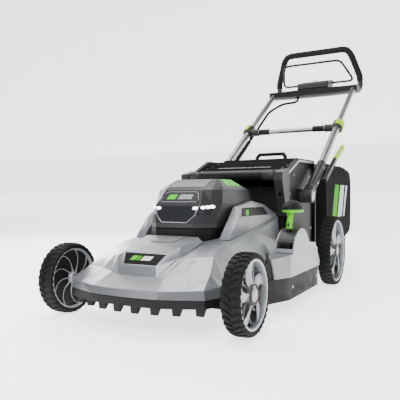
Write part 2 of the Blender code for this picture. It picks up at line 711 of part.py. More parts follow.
arm_half = 0.0022
pin_place = (link_pin_y, link_z(link_pin_y))
arm = rod((LEVER_X - arm_half, LEVER_Y, LEVER_Z), (LEVER_X + arm_half, LEVER_Y, LEVER_Z), 0.011, sides=24)
upper_arm = plate([lever_point(0, -0.005), lever_point(0, 0.005), lever_point(0.104, 0.0035),
                   lever_point(0.104, -0.0035)], LEVER_X - arm_half + 0.0002, LEVER_X + arm_half - 0.0002,
                  side_on=True)
down = Vector((pin_place[0] - LEVER_Y, pin_place[1] - LEVER_Z)).normalized()


def lower_slab(start, end, half, thick):
    """A straight piece of the lower arm, between two reaches from the pivot."""
    square = Vector((-down.y, down.x)) * half
    near = Vector((LEVER_Y, LEVER_Z)) + down * start
    far = Vector((LEVER_Y, LEVER_Z)) + down * end
    return plate([tuple(near - square), tuple(near + square), tuple(far + square), tuple(far - square)],
                 LEVER_X - thick, LEVER_X + thick, side_on=True)


join(arm, upper_arm, lower_slab(0.0, LEVER_ARM + 0.008, 0.0085, arm_half - 0.0004))
cut(arm, rod((0.2, LEVER_Y, LEVER_Z), (0.3, LEVER_Y, LEVER_Z), 0.004 + RUN, sides=20),
    lower_slab(LEVER_ARM - 0.0115, LEVER_ARM + 0.004, LINK_R + 0.0016, 0.01))
part(arm, "lever_arm", lever_pivot, BLADE_STEEL, 30)

KNOB_AT = (LEVER_X, 0.405, 0.282)
knob = ball(KNOB_AT, (0.031, 0.049, 0.026))
cut(knob, box((0.1, 0.2, 0.1), (0.4, 0.6, KNOB_AT[2] - 0.010)))
knob = applied(knob)
stem = rod((LEVER_X, *lever_point(0.086)), (LEVER_X, 0.388, KNOB_AT[2]), 0.0090, 0.0080, sides=20)
join(knob, stem)
cut(knob, plate([lever_point(0.02, -0.0055), lever_point(0.02, 0.0055), lever_point(0.1043, 0.0038),
                 lever_point(0.1043, -0.0038)], LEVER_X - arm_half - GAP, LEVER_X + arm_half + GAP,
                side_on=True))
part(knob, "lever_knob", lever_pivot, BLACK, 40)

# ---------------------------------------------------------------- blade and motor
blade_pivot = empty("pivot_blade", (0.0, BLADE_Y, BLADE_Z), ROOT)
half_blade = BLADE_LENGTH / 2
blade = plate([(x, BLADE_Y + y) for x, y in
               [(-half_blade, -0.020), (-0.160, -0.027), (0.0, -0.027), (0.160, -0.024),
                (half_blade, -0.010), (half_blade, 0.020), (0.160, 0.027), (0.0, 0.027),
                (-0.160, 0.024), (-half_blade, 0.010)]], BLADE_Z - 0.002, BLADE_Z + 0.002)
wings = []
for side in (1, -1):
    wing_start, wing_end = sorted((side * 0.175, side * 0.246))
    wing = box((wing_start, -0.001, -0.001), (wing_end, 0.013, 0.002))
    turn = Matrix.Translation((0, BLADE_Y + side * 0.014, BLADE_Z)) @ Matrix.Rotation(
        side * math.radians(38) if side > 0 else math.radians(180 - 38), 4, "X")
    wing.matrix_world = turn
    wings.append(wing)
join(blade, *wings)
BOLT_R = 0.005
cut(blade, rod((0, BLADE_Y, 0), (0, BLADE_Y, 0.1), BOLT_R + GAP))
part(blade, "blade", blade_pivot, BLADE_STEEL, 30)

SHAFT_R = 0.0085
rotor = turned([(0.0, 0.192), (SHAFT_R, 0.192), (SHAFT_R, 0.176), (0.056, 0.176), (0.056, 0.132),
                (SHAFT_R, 0.132), (SHAFT_R, 0.076), (0.024, 0.074), (0.024, BLADE_Z + 0.002 + GAP),
                (BOLT_R, BLADE_Z + 0.002 + GAP), (BOLT_R, BLADE_Z - 0.012), (0.0, BLADE_Z - 0.012)],
               Matrix.Translation((0, BLADE_Y, 0)), 32)
part(rotor, "motor_rotor", blade_pivot, STEEL, 35)

MOTOR_LOW = PAN_ROOF + GAP
MOTOR_TOP = 0.190
motor = turned([(MOTOR_R, MOTOR_TOP - 0.006), (MOTOR_R, MOTOR_LOW + 0.012),
                (MOTOR_R + 0.012, MOTOR_LOW + 0.012), (MOTOR_R + 0.012, MOTOR_LOW),
                (SHAFT_R + RUN, MOTOR_LOW), (SHAFT_R + RUN, MOTOR_LOW + 0.026),
                (0.059, MOTOR_LOW + 0.026), (0.059, 0.182), (SHAFT_R + RUN, 0.182),
                (SHAFT_R + RUN, MOTOR_TOP), (MOTOR_R - 0.008, MOTOR_TOP)],
               Matrix.Translation((0, BLADE_Y, 0)), 32)
part(motor, "motor_housing", ROOT, CHARCOAL, 35)

# ---------------------------------------------------------------- battery housing: base, pack and hood
HOOD_PLANS = [
    (HOOD_SPLIT, BASE_PLAN),
    (0.2460, BASE_PLAN),
    (0.2970, [(0.0, 0.1400), (0.071, 0.1430), (0.092, 0.170), (0.108, 0.203),
              (0.115, 0.290), (0.114, 0.390), (0.104, 0.443)]),
    (0.3380, [(0.0, 0.1720), (0.060, 0.1750), (0.084, 0.190), (0.104, 0.212),
              (0.110, 0.290), (0.108, 0.385), (0.096, 0.425)]),
    (0.3450, [(0.0, 0.1860), (0.060, 0.1880), (0.082, 0.200), (0.100, 0.222),
              (0.106, 0.290), (0.103, 0.375), (0.090, 0.410)]),
    (HOOD_TOP, [(0.0, 0.2500), (0.060, 0.2515), (0.066, 0.253), (0.071, 0.257),
                (0.073, 0.290), (0.073, 0.335), (0.066, 0.352)]),
]


def hood_loop(plan, z):
    """A closed plan loop of the hood at a height."""
    half = [Vector((x, y, z)) for x, y in plan]
    return half + [Vector((-p.x, p.y, p.z)) for p in reversed(half) if p.x]


hood_pivot = empty("pivot_battery_hood", (0.0, *HOOD_HINGE), ROOT)
hood = loft([hood_loop(plan, z) for z, plan in HOOD_PLANS], closed_ribs=True, cap_last=True)
hood = walled(hood, HOOD_WALL)
LATCH_AT = (0.115, 0.275, 0.272)
latch_y, latch_z = LATCH_AT[1:]
latch_hole = box((0.105, latch_y - 0.0135, latch_z - 0.0075), (0.125, latch_y + 0.0135, latch_z + 0.0075))
cut(hood, latch_hole)
part(hood, "battery_hood", hood_pivot, CHARCOAL, 20)
latch_pivot = empty("pivot_hood_latch", LATCH_AT, hood_pivot)
latch = box((0.108, latch_y - 0.013, latch_z - 0.007), (0.1195, latch_y + 0.013, latch_z + 0.007))
latch = bevelled(latch, 0.0015)
part(latch, "hood_latch", latch_pivot, CHARCOAL)

base = plate(base_loop(0.0), BASE_FLOOR, HOOD_SPLIT - 0.0013)
cut(base, box((-0.064, 0.185, BASE_FLOOR + 0.004), (0.064, 0.395, 0.30)))
part(base, "battery_base", ROOT, BLACK, 25)
pack = bevelled(box((-0.0625, 0.1865, BASE_FLOOR + 0.004 + GAP), (0.0625, 0.3935, 0.322)), 0.006)
part(pack, "battery_pack", ROOT, CHARCOAL)

# ---------------------------------------------------------------- silver pods beside the hood
POD_IN, POD_OUT = 0.1205, 0.150
for word, side in (("left", 1), ("right", -1)):
    foot = [(0.530, 0.254 + 0.0006), (0.300, 0.222 + 0.0006), (0.158, top_z(0.158) + 0.0006)]
    outline = [(0.158, 0.206), (0.248, 0.290), (0.362, 0.306), (0.452, 0.294), (0.530, 0.262)] + foot
    pod = plate(outline, POD_IN, POD_OUT, side_on=True)
    lean = Matrix.Translation((0.1475, 0.0, 0.262)) @ Matrix.Rotation(math.radians(-20), 4, "Y")
    slope = box((0.0, 0.0, 0.0), (0.05, 0.6, 0.2), lean)
    cut(pod, slope)
    pod = bevelled(applied(pod), 0.002)
    if side < 0:
        pod = flip_x(pod)
    part(pod, f"hood_pod_{word}", ROOT, SILVER)

# ---------------------------------------------------------------- discharge chute
CHUTE_OUTER = [(0.540, PAN_ROOF + GAP), (0.538, 0.250), (0.553, 0.352), (0.568, 0.352), (0.725, 0.130),
               (0.650, PAN_ROOF + GAP)]
chute = plate(CHUTE_OUTER, -CHEEK_IN + GAP, CHEEK_IN - GAP, side_on=True)
chute_way = plate([(0.5435, PAN_ROOF - 0.02), (0.5415, 0.250), (0.556, 0.346), (0.60, 0.42), (0.82, 0.20),
                   (0.728, 0.1335), (0.648, PAN_ROOF + 0.0035), (0.620, PAN_ROOF - 0.02)],
                  -CHUTE_HALF - 0.008, CHUTE_HALF + 0.008, side_on=True)
cut(chute, chute_way)
part(chute, "discharge_chute", ROOT, BLACK, 25)

# ---------------------------------------------------------------- rear cheeks and pillars
CHEEK = [(0.550, PAN_ROOF + GAP), (0.550, 0.405), (0.668, 0.454), (CHEEK_REAR - 0.024, 0.458),
         (CHEEK_REAR, 0.420), (CHEEK_REAR, 0.070), (CHEEK_REAR - 0.051, 0.062), (0.690, PAN_ROOF + GAP)]
PIVOT_PIN_R = 0.010
for word, side in (("left", 1), ("right", -1)):
    cheek = plate(CHEEK, CHEEK_IN, CHEEK_OUT, side_on=True)
    pocket = plate([(0.574, 0.110), (0.567, 0.396), (0.671, 0.440), (CHEEK_REAR - 0.031, 0.444),
                    (CHEEK_REAR - 0.014, 0.416), (CHEEK_REAR - 0.014, 0.115), (CHEEK_REAR - 0.046, 0.110)],
                   CHEEK_OUT - 0.011, CHEEK_OUT + 0.01, side_on=True)
    cut(cheek, pocket)
    boss = rod((CHEEK_IN + 0.001, PIVOT_Y, PIVOT_Z), (CHEEK_OUT, PIVOT_Y, PIVOT_Z), 0.026, sides=32)
    join(cheek, boss)
    cut(cheek, rod((0.1, PIVOT_Y, PIVOT_Z), (0.3, PIVOT_Y, PIVOT_Z), PIVOT_PIN_R + RUN),
        rod((0.1, *REAR_AXLE[1:]), (0.3, *REAR_AXLE[1:]), AXLE_R + RUN))
    cheek = applied(cheek)
    pillar = plate([(0.526, 0.256), (0.480, 0.372), (0.480, 0.398), (0.550 - GAP, 0.412),
                    (0.550 - GAP, 0.252), (0.534, 0.2555)], PILLAR_IN, PILLAR_OUT, side_on=True)
    cut(pillar, rod((0.172, 0.46, 0.327), (0.172, 0.59, 0.327), 0.005, sides=16),
        rod((0.1, ROLL_Y, ROLL_Z), (PILLAR_IN + 0.012, ROLL_Y, ROLL_Z), HINGE_R + RUN, sides=20),
        box((0.15, 0.5377, 0.24), (CHEEK_IN, 0.56, 0.3528)))
    pillar = applied(pillar)
    if side < 0:
        cheek, pillar = flip_x(cheek), flip_x(pillar)
    part(cheek, f"rear_cheek_{word}", ROOT, BLACK, 25)
    part(pillar, f"handle_pillar_{word}", ROOT, CHARCOAL, 25)

# ---------------------------------------------------------------- rear door, hinged on pins at the roll
door_pivot = empty("pivot_rear_door", (0.0, ROLL_Y, ROLL_Z), ROOT)
door_half = PILLAR_IN - 0.0012
roll = rod((-door_half, ROLL_Y, ROLL_Z), (door_half, ROLL_Y, ROLL_Z), ROLL_R, sides=28)
panel_outline = [(ROLL_Y + 0.006, ROLL_Z + 0.013), (0.560, 0.4105), (0.680, 0.4395), DOOR_REAR,
                 (DOOR_REAR[0] + 0.001, DOOR_REAR[1] - DOOR_WALL), (0.681, 0.4395 - DOOR_WALL),
                 (0.562, 0.4105 - DOOR_WALL), (ROLL_Y + 0.008, ROLL_Z + 0.004)]
door_panel = plate(panel_outline, -0.1535, 0.1535, side_on=True)
ribs = []
for y, z in ((0.575, 0.4175), (0.620, 0.4285), (0.668, 0.4400), (0.716, 0.4510), (0.760, 0.4610)):
    ribs.append(box((-0.150, y - 0.004, z - 0.008), (0.150, y + 0.004, z + 0.002)))
pin_half = PILLAR_IN + 0.011
hinge_pins = rod((-pin_half, ROLL_Y, ROLL_Z), (pin_half, ROLL_Y, ROLL_Z), HINGE_R, sides=20)
join(roll, door_panel, hinge_pins, *ribs)
part(roll, "rear_door", door_pivot, BLACK, 30)

# ---------------------------------------------------------------- folding lower handle
fold_pivot = empty("pivot_handle_fold", (0.0, PIVOT_Y, PIVOT_Z), ROOT)


def ring_tube(side, start, end, outer_r, inner_r, sides=28):
    length = end - start
    return turned([(outer_r, length), (outer_r, 0.0), (inner_r, 0.0), (inner_r, length)],
                  tube_frame(side, start), sides)


SOCKET_R = LOWER_TUBE_R + 0.0028
RELEASE_X = 0.034
for word, side in (("left", 1), ("right", -1)):
    tube = ring_tube(1, 0.060, LOWER_TUBE_END, LOWER_TUBE_R, UPPER_TUBE_R + RUN)
    socket = ring_tube(1, 0.045, SOCKET_END, SOCKET_R, LOWER_TUBE_R + GAP, 24)
    knuckle = rod((CHEEK_OUT + GAP, PIVOT_Y, PIVOT_Z), (0.2232, PIVOT_Y, PIVOT_Z), 0.024, sides=28)
    neck = box((-0.0165, -0.0165, 0.0), (0.0165, 0.0165, 0.050))
    neck.matrix_world = tube_frame(1, 0.0)
    hinge_pin = rod((CHEEK_IN + 0.002, PIVOT_Y, PIVOT_Z), (0.200, PIVOT_Y, PIVOT_Z), PIVOT_PIN_R)
    release_pin = rod(on_tube(1, 0.130, -0.010, 0.010), on_tube(1, 0.130, -0.010, RELEASE_X + 0.005), 0.0035,
                      sides=16)
    socket = join(knuckle, neck, socket, hinge_pin, release_pin)
    cut(socket, rod(on_tube(1, 0.055), on_tube(1, 0.3), LOWER_TUBE_R + GAP, sides=28))
    socket = applied(socket)
    if side < 0:
        tube, socket = flip_x(tube), flip_x(socket)
    part(tube, f"lower_tube_{word}", fold_pivot, ALUMINIUM, 40)
    part(socket, f"tube_socket_{word}", fold_pivot, CHARCOAL, 35)

# clamps at the tops of the lower tubes, with the crossbar between them
CLAMP_START = 0.508
CROSS_AT = 0.532
CROSS_R = 0.011
for word, side in (("left", 1), ("right", -1)):
    collar = bevelled(box((-0.0195, -0.0205, CLAMP_START), (0.0195, 0.0205, CLAMP_END)), 0.008)
    collar.matrix_world = tube_frame(1, 0.0)
    boss = rod(on_tube(1, CROSS_AT, 0, -0.010), on_tube(1, CROSS_AT, 0, -0.052), 0.0165, sides=24)
    join(collar, boss)
    cut(collar, rod(on_tube(1, 0.4), on_tube(1, LOWER_TUBE_END + GAP), LOWER_TUBE_R + GAP, sides=28),
        rod(on_tube(1, 0.4), on_tube(1, 0.7), UPPER_TUBE_R + RUN, sides=28),
        rod(on_tube(1, CROSS_AT, 0, -0.030), on_tube(1, CROSS_AT, 0, -0.070), CROSS_R + GAP, sides=24))
    collar = applied(collar)
    if side < 0:
        collar = flip_x(collar)
    part(collar, f"handle_clamp_{word}", fold_pivot, CHARCOAL, 35)
cross_in = -0.030 - GAP
crossbar = rod(on_tube(1, CROSS_AT, 0, cross_in), on_tube(-1, CROSS_AT, 0, cross_in), CROSS_R, sides=28)
part(crossbar, "crossbar", fold_pivot, ALUMINIUM, 40)

# cam levers that lock the clamps: curved bands hinged over the collars
CAM_R_IN, CAM_R_OUT = 0.0240, 0.0275
for word, side in (("left", 1), ("right", -1)):
    hinge = on_tube(side, (CLAMP_START + CLAMP_END) / 2, 0.0258, 0.0)
    cam_pivot = empty(f"pivot_cam_lever_{word}", hinge, fold_pivot)
    band = arc((0, 0), CAM_R_OUT, -98, 62, 16) + arc((0, 0), CAM_R_IN, 62, -98, 16)
    lever = plate(band, CLAMP_START + 0.016, CLAMP_END - 0.014)
    lever.matrix_world = tube_frame(1, 0.0) @ lever.matrix_world
    lever = applied(lever)
    if side < 0:
        lever = flip_x(lever)
    part(lever, f"cam_lever_{word}", cam_pivot, LIME, 35)

# release levers beside the sockets
for word, side in (("left", 1), ("right", -1)):
    at = on_tube(side, 0.130, -0.010, RELEASE_X)
    release_pivot = empty(f"pivot_release_lever_{word}", at, fold_pivot)
    lever_side = [(0.118, -0.004), (0.118, -0.018), (0.300, -0.036), (0.448, -0.062), (0.460, -0.056),
                  (0.456, -0.044), (0.300, -0.018), (0.140, -0.002)]
    outline = []
    for along, lift in lever_side:
        place = on_tube(1, along, lift)
        outline.append((place.y, place.z))
    lever = plate(outline, TUBE_X + RELEASE_X - 0.008, TUBE_X + RELEASE_X + 0.006, side_on=True)
    lever = bevelled(lever, 0.002)
    cut(lever, rod(on_tube(1, 0.130, -0.010, 0.0), on_tube(1, 0.130, -0.010, 0.060), 0.0035 + RUN, sides=16))
    lever = applied(lever)
    if side < 0:
        lever = flip_x(lever)
    part(lever, f"release_lever_{word}", release_pivot, LIME)

# ---------------------------------------------------------------- sliding upper handle
slide_pivot = empty("pivot_handle_extend", tuple(on_tube(0, CLAMP_END)), fold_pivot)
for word, side in (("left", 1), ("right", -1)):
    tube = rod(on_tube(1, UPPER_TUBE_START), on_tube(1, UPPER_TUBE_END), UPPER_TUBE_R, sides=28)
    if side < 0:
        tube = flip_x(tube)
    part(tube, f"upper_tube_{word}", slide_pivot, ALUMINIUM, 40)

bar_mid = Vector((0.0, 1.5060, 0.8540))
bar_half = TUBE_X + 0.020
bar_ribs = []
for x, rise, tall in ((-bar_half, 0.0, 0.036), (-0.165, -0.001, 0.036), (-0.092, -0.001, 0.040),
                      (0.092, -0.001, 0.040), (0.165, -0.001, 0.036), (bar_half, 0.0, 0.036)):
    y, z = bar_mid.y, bar_mid.z + rise
    deep = 0.036
    section = [(-1.0, -0.35), (-1.0, 0.35), (-0.5, 0.5), (0.5, 0.5), (1.0, 0.35), (1.0, -0.35), (0.5, -0.5),
               (-0.5, -0.5)]
    bar_ribs.append([Vector((x, y + deep * a, z + tall * b)) for a, b in section])
bar = loft(bar_ribs, closed_ribs=True, cap_first=True, cap_last=True)
cut(bar, *[rod(on_tube(side, 0.7), on_tube(side, UPPER_TUBE_END + GAP), UPPER_TUBE_R + GAP, sides=28)
           for side in (1, -1)])
part(bar, "control_bar", slide_pivot, BLACK, 30)

SWITCH_HALF = 0.079
switch_low = bar_mid.z - 0.001 + 0.020 + GAP
switch_outline = [(1.4880, switch_low), (1.4840, 0.8960), (1.4900, 0.9060), (1.5450, 0.9170),
                  (1.5900, 0.9310), (1.6060, 0.9280), (1.6080, 0.9040), (1.5500, switch_low)]
switch_box = bevelled(plate(switch_outline, -SWITCH_HALF, SWITCH_HALF, side_on=True), 0.004)
BAIL_AXIS = (1.5970, 0.9170)
button_at = (0.012, 1.5080)
button_top = 0.9135
cut(switch_box, rod((-0.2, *BAIL_AXIS), (-0.055, *BAIL_AXIS), BAIL_R + RUN, sides=16),
    rod((0.055, *BAIL_AXIS), (0.2, *BAIL_AXIS), BAIL_R + RUN, sides=16),
    rod((*button_at, button_top - 0.0165), (*button_at, 1.2), 0.0095, sides=24))
part(switch_box, "switch_box", slide_pivot, CHARCOAL, 30)

button_pivot = empty("pivot_start_button", (*button_at, button_top), slide_pivot)
button = rod((*button_at, button_top - 0.0125), (*button_at, button_top), 0.0090, 0.0080, sides=24)
part(button, "start_button", button_pivot, LIME, 40)

GRIP_HALF = [(0.2150, 1.6060, 0.9130), (0.2130, 1.6010, 0.9400), (0.1960, 1.5880, 0.9900),
             (0.1800, 1.5760, 1.0350), (0.1700, 1.5690, 1.0540), (0.1560, 1.5640, 1.0680),
             (0.1360, 1.5620, 1.0730), (0.0, 1.5620, 1.0730)]
grip_route = [Vector(p) for p in GRIP_HALF] + [Vector((-p[0], p[1], p[2])) for p in reversed(GRIP_HALF[:-1])]
part(pipe(grip_route, GRIP_R, fineness=4), "grip_loop", slide_pivot, FOAM, 40)

grip_start = (Vector(GRIP_HALF[1]) - Vector(GRIP_HALF[0])).normalized()
for word, side in (("left", 1), ("right", -1)):
    knee = pipe([(0.2090, bar_mid.y + 0.0366, 0.8560), (0.2090, 1.5560, 0.8560), (0.2110, 1.5780, 0.8610),
                 (0.2140, 1.5980, 0.8740), Vector(GRIP_HALF[0]) - grip_start * 0.018,
                 Vector(GRIP_HALF[0]) - grip_start * 0.0004], 0.0135, fineness=3)
    if side < 0:
        knee = flip_x(knee)
    part(knee, f"corner_bracket_{word}", slide_pivot, CHARCOAL, 40)

bail_pivot = empty("pivot_bail", (0.0, *BAIL_AXIS), slide_pivot)
BAIL_UP = Vector((0.0, -0.1250, 0.0800)).normalized()


def bail_point(x, reach):
    """A place on the bail, out from its axis."""
    return Vector((x, *BAIL_AXIS)) + BAIL_UP * reach


BAIL_HALF = [bail_point(0.060, 0), bail_point(0.160, 0), bail_point(0.174, 0.006), bail_point(0.179, 0.022),
             bail_point(0.152, 0.118), bail_point(0.140, 0.139), bail_point(0.114, 0.148)]
bail_route = BAIL_HALF + [Vector((-p.x, p.y, p.z)) for p in reversed(BAIL_HALF)]
part(pipe(bail_route, BAIL_R, fineness=2), "bail", bail_pivot, BLACK, 40)

# ---------------------------------------------------------------- cable conduit in two telescoping lengths
CONDUIT_LIFT, CONDUIT_SIDE = -0.030, -0.006
SLEEVE_START, SLEEVE_END = 0.120, 0.500
sleeve = rod(on_tube(1, SLEEVE_START - 0.025, CONDUIT_LIFT, CONDUIT_SIDE),
             on_tube(1, SLEEVE_END, CONDUIT_LIFT, CONDUIT_SIDE), SLEEVE_R, sides=20)
clips = []
for along in (0.270, 0.420):
    low, high = on_tube(1, along, CONDUIT_LIFT, CONDUIT_SIDE), on_tube(1, along, -0.0140, -0.0020)
    clips.append(rod(low, high, 0.004, sides=12))
join(sleeve, *clips)
cut(sleeve, rod(on_tube(1, SLEEVE_START, CONDUIT_LIFT, CONDUIT_SIDE),
                on_tube(1, SLEEVE_END + 0.01, CONDUIT_LIFT, CONDUIT_SIDE), CONDUIT_R + RUN, sides=20),
    rod(on_tube(1, 0.05), on_tube(1, 0.55), LOWER_TUBE_R + GAP, sides=28))
part(flip_x(applied(sleeve)), "conduit_sleeve", fold_pivot, BLACK, 40)
upper_conduit = pipe([on_tube(1, SLEEVE_START + HANDLE_TRAVEL + 0.010, CONDUIT_LIFT, CONDUIT_SIDE),
                      on_tube(1, 0.800, CONDUIT_LIFT, CONDUIT_SIDE)]
                     + smooth_route([on_tube(1, 0.800, CONDUIT_LIFT, CONDUIT_SIDE), (0.1820, 1.405, 0.7660),
                                     (0.1400, 1.440, 0.7960), (0.0950, 1.478, 0.8080),
                                     (0.0760, 1.490, 0.8180)], 0.012)[1:]
                     + [(0.0760, 1.490, 0.8325)], CONDUIT_R, fineness=2)
part(flip_x(upper_conduit), "conduit", slide_pivot, BLACK, 40)

# ---------------------------------------------------------------- grass bag
NECK_END = CHEEK_REAR + 0.019
BAG_REAR_Y = NECK_END + BAG_LENGTH
bag_pivot = empty("pivot_grass_bag", (0.0, NECK_END, BAG_TOP), ROOT)


def bag_loop(y, half, low, high, round_off=0.030):
    """A loop round the bag with cut corners."""
    corners = [(half - round_off, low), (half, low + round_off), (half, high - round_off),
               (half - round_off, high)]
    loop = [Vector((x, y, z)) for x, z in corners]
    return loop + [Vector((-p.x, p.y, p.z)) for p in reversed(loop)]


neck = loft([bag_loop(NECK_END - BAG_NECK_LENGTH, BAG_NECK_HALF, 0.150, 0.432, 0.012),
             bag_loop(NECK_END, BAG_NECK_HALF, 0.140, 0.446, 0.012)], closed_ribs=True)
neck = walled(neck, 0.004)
lid = bevelled(box((-0.150, NECK_END - 0.065, 0.4410), (0.150, NECK_END - 0.003, 0.4530)), 0.002)
hooks = []
for hook_x in (0.162, -0.162):
    hooks.append(box((hook_x - 0.0055, NECK_END - 0.135, 0.404), (hook_x + 0.0055, NECK_END - 0.105, 0.416)))
carry_half = [(0.050, NECK_END - 0.017, 0.4920), (0.060, NECK_END - 0.021, 0.4800),
              (0.060, NECK_END - 0.025, 0.4480)]
carry = pipe([(-x, y, z) for x, y, z in reversed(carry_half)] + carry_half, 0.0080, fineness=3)
join(neck, lid, carry, *hooks)
part(neck, "bag_frame", bag_pivot, BLACK, 30)

BAG_RIBS = [
    (NECK_END + GAP, BAG_NECK_HALF, 0.140, 0.4437, 0.012),
    (NECK_END + 0.060, BAG_HALF, BAG_BOTTOM, 0.4470, 0.030),
    (NECK_END + 0.215, BAG_HALF, BAG_BOTTOM - 0.004, BAG_TOP, 0.024),
    (BAG_REAR_Y - 0.140, BAG_HALF, BAG_BOTTOM, BAG_TOP, 0.024),
    (BAG_REAR_Y - 0.045, BAG_HALF - 0.008, BAG_BOTTOM + 0.018, BAG_TOP - 0.010, 0.026),
    (BAG_REAR_Y, BAG_HALF - 0.045, BAG_BOTTOM + 0.070, BAG_TOP - 0.060, 0.030),
]
bag = walled(loft([bag_loop(*rib) for rib in BAG_RIBS], closed_ribs=True, cap_last=True), BAG_WALL)
part(bag, "grass_bag", bag_pivot, FABRIC, 30)

# ---------------------------------------------------------------- side discharge flap
FLAP_X = -(DECK_HALF_WIDTH + GAP)
flap_pivot = empty("pivot_side_flap", (FLAP_X - 0.0025, (FLAP_LOW + FLAP_HIGH) / 2, 0.0878), ROOT)
flap = box((FLAP_X - 0.0035, FLAP_LOW, SKIRT_BOTTOM + 0.006), (FLAP_X - 0.0005, FLAP_HIGH, 0.0893))
flap = bevelled(flap, 0.001)
part(flap, "side_flap", flap_pivot, CHARCOAL)

# ---------------------------------------------------------------- origin at the bottom centre of the box
for tool in cutters.objects:
    tool.parent = ROOT
bpy.context.view_layer.update()
graph = bpy.context.evaluated_depsgraph_get()
low, high = Vector((9.0, 9.0, 9.0)), Vector((-9.0, -9.0, -9.0))
for obj in parts.objects:
    if obj.type == "EMPTY":
        continue
    shape = obj.evaluated_get(graph)
    for vertex in shape.data.vertices:
        at = shape.matrix_world @ vertex.co
        low = Vector(map(min, low, at))
        high = Vector(map(max, high, at))
ROOT.location = (-(low.x + high.x) / 2, -(low.y + high.y) / 2, -low.z)
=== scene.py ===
"""Cordless push lawn mower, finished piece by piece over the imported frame.

The mower faces -Y and the operator's left is +X. Each section holds one piece of the mower, in the
order in which it is put together: its sizes, its finish, its shape and the body that it rides on.
"""

import math

import bmesh
import bpy
from mathutils import Euler, Matrix, Vector, noise


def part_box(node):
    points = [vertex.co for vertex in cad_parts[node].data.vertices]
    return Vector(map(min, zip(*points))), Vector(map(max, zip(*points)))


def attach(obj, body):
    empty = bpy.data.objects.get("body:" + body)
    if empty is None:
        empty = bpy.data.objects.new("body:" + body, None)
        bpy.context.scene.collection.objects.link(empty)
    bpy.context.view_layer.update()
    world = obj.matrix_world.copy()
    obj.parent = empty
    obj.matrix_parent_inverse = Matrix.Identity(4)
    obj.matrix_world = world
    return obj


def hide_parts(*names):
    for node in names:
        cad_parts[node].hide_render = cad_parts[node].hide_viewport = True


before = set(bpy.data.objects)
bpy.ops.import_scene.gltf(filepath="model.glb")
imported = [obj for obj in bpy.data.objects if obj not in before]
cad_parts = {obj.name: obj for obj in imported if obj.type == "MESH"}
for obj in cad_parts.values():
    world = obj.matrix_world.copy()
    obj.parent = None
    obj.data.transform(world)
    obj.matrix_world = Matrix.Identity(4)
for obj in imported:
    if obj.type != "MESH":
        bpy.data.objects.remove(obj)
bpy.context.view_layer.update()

# ---------------- camera, floor and lights
# The mower stands on a plain pale floor and is seen from its front left corner at wheel height,
# through a slightly long lens. Broad soft lamps stand over it, as on a product table.
wheel_low, wheel_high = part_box("front_wheel_left_tyre")
FRONT_LINE = (wheel_low[1] + wheel_high[1]) / 2


def at(x, y, z):
    """A place on the mower, with y measured back from the front wheels' centre line."""
    return Vector((x, FRONT_LINE + y, z))


camera_data = bpy.data.cameras.new("product_camera")
camera_data.lens = 45.51
camera_data.sensor_width = 36.0
camera = bpy.data.objects.new("product_camera", camera_data)
bpy.context.scene.collection.objects.link(camera)
camera.rotation_euler = Euler((math.radians(89.758), math.radians(0.078), math.radians(28.209)))
camera.location = at(0.7162, -1.0621, 0.3154)
camera_data.clip_end = 40.0
bpy.context.scene.camera = camera


class Feed:
    """A node's output that can be used in sums. Each sum adds a Math node to the same tree."""

    def __init__(self, tree, socket):
        self.tree = tree
        self.socket = socket

    def math(self, operation, *others):
        node = self.tree.nodes.new("ShaderNodeMath")
        node.operation = operation
        for slot, value in zip(node.inputs, (self, *others)):
            if isinstance(value, Feed):
                self.tree.links.new(value.socket, slot)
            else:
                slot.default_value = value
        return Feed(self.tree, node.outputs[0])

    def __add__(self, other):
        return self.math("ADD", other)

    def __sub__(self, other):
        return self.math("SUBTRACT", other)

    def __mul__(self, other):
        return self.math("MULTIPLY", other)

    def __truediv__(self, other):
        return self.math("DIVIDE", other)

    def __rsub__(self, other):
        return self.math("MULTIPLY", -1.0).math("ADD", other)

    def __neg__(self):
        return self.math("MULTIPLY", -1.0)

    __radd__ = __add__
    __rmul__ = __mul__

    def over(self, edge, softness):
        """0 under an edge and 1 over it, with a soft step between."""
        return ((self - edge) / softness + 0.5).math("MAXIMUM", 0.0).math("MINIMUM", 1.0)

    def under(self, edge, softness):
        return 1 - self.over(edge, softness)


class Bench:
    """A node tree on the bench, whose nodes are added one by one."""

    def __init__(self, tree):
        self.tree = tree

    def put(self, node, sockets):
        for name, value in sockets.items():
            socket = node.inputs[name]
            if isinstance(value, Feed):
                self.tree.links.new(value.socket, socket)
            else:
                socket.default_value = value

    def node(self, kind, settings=None, sockets=None, output=0):
        """Any node of the tree: its settings go in first, then its sockets' values or links."""
        made = self.tree.nodes.new(kind)
        for name, value in (settings or {}).items():
            if name == "stops":
                for stop, (place, colour) in zip(made.color_ramp.elements, value):
                    stop.position = place
                    stop.color = colour
            else:
                setattr(made, name, value)
        self.put(made, sockets or {})
        return Feed(self.tree, made.outputs[output])


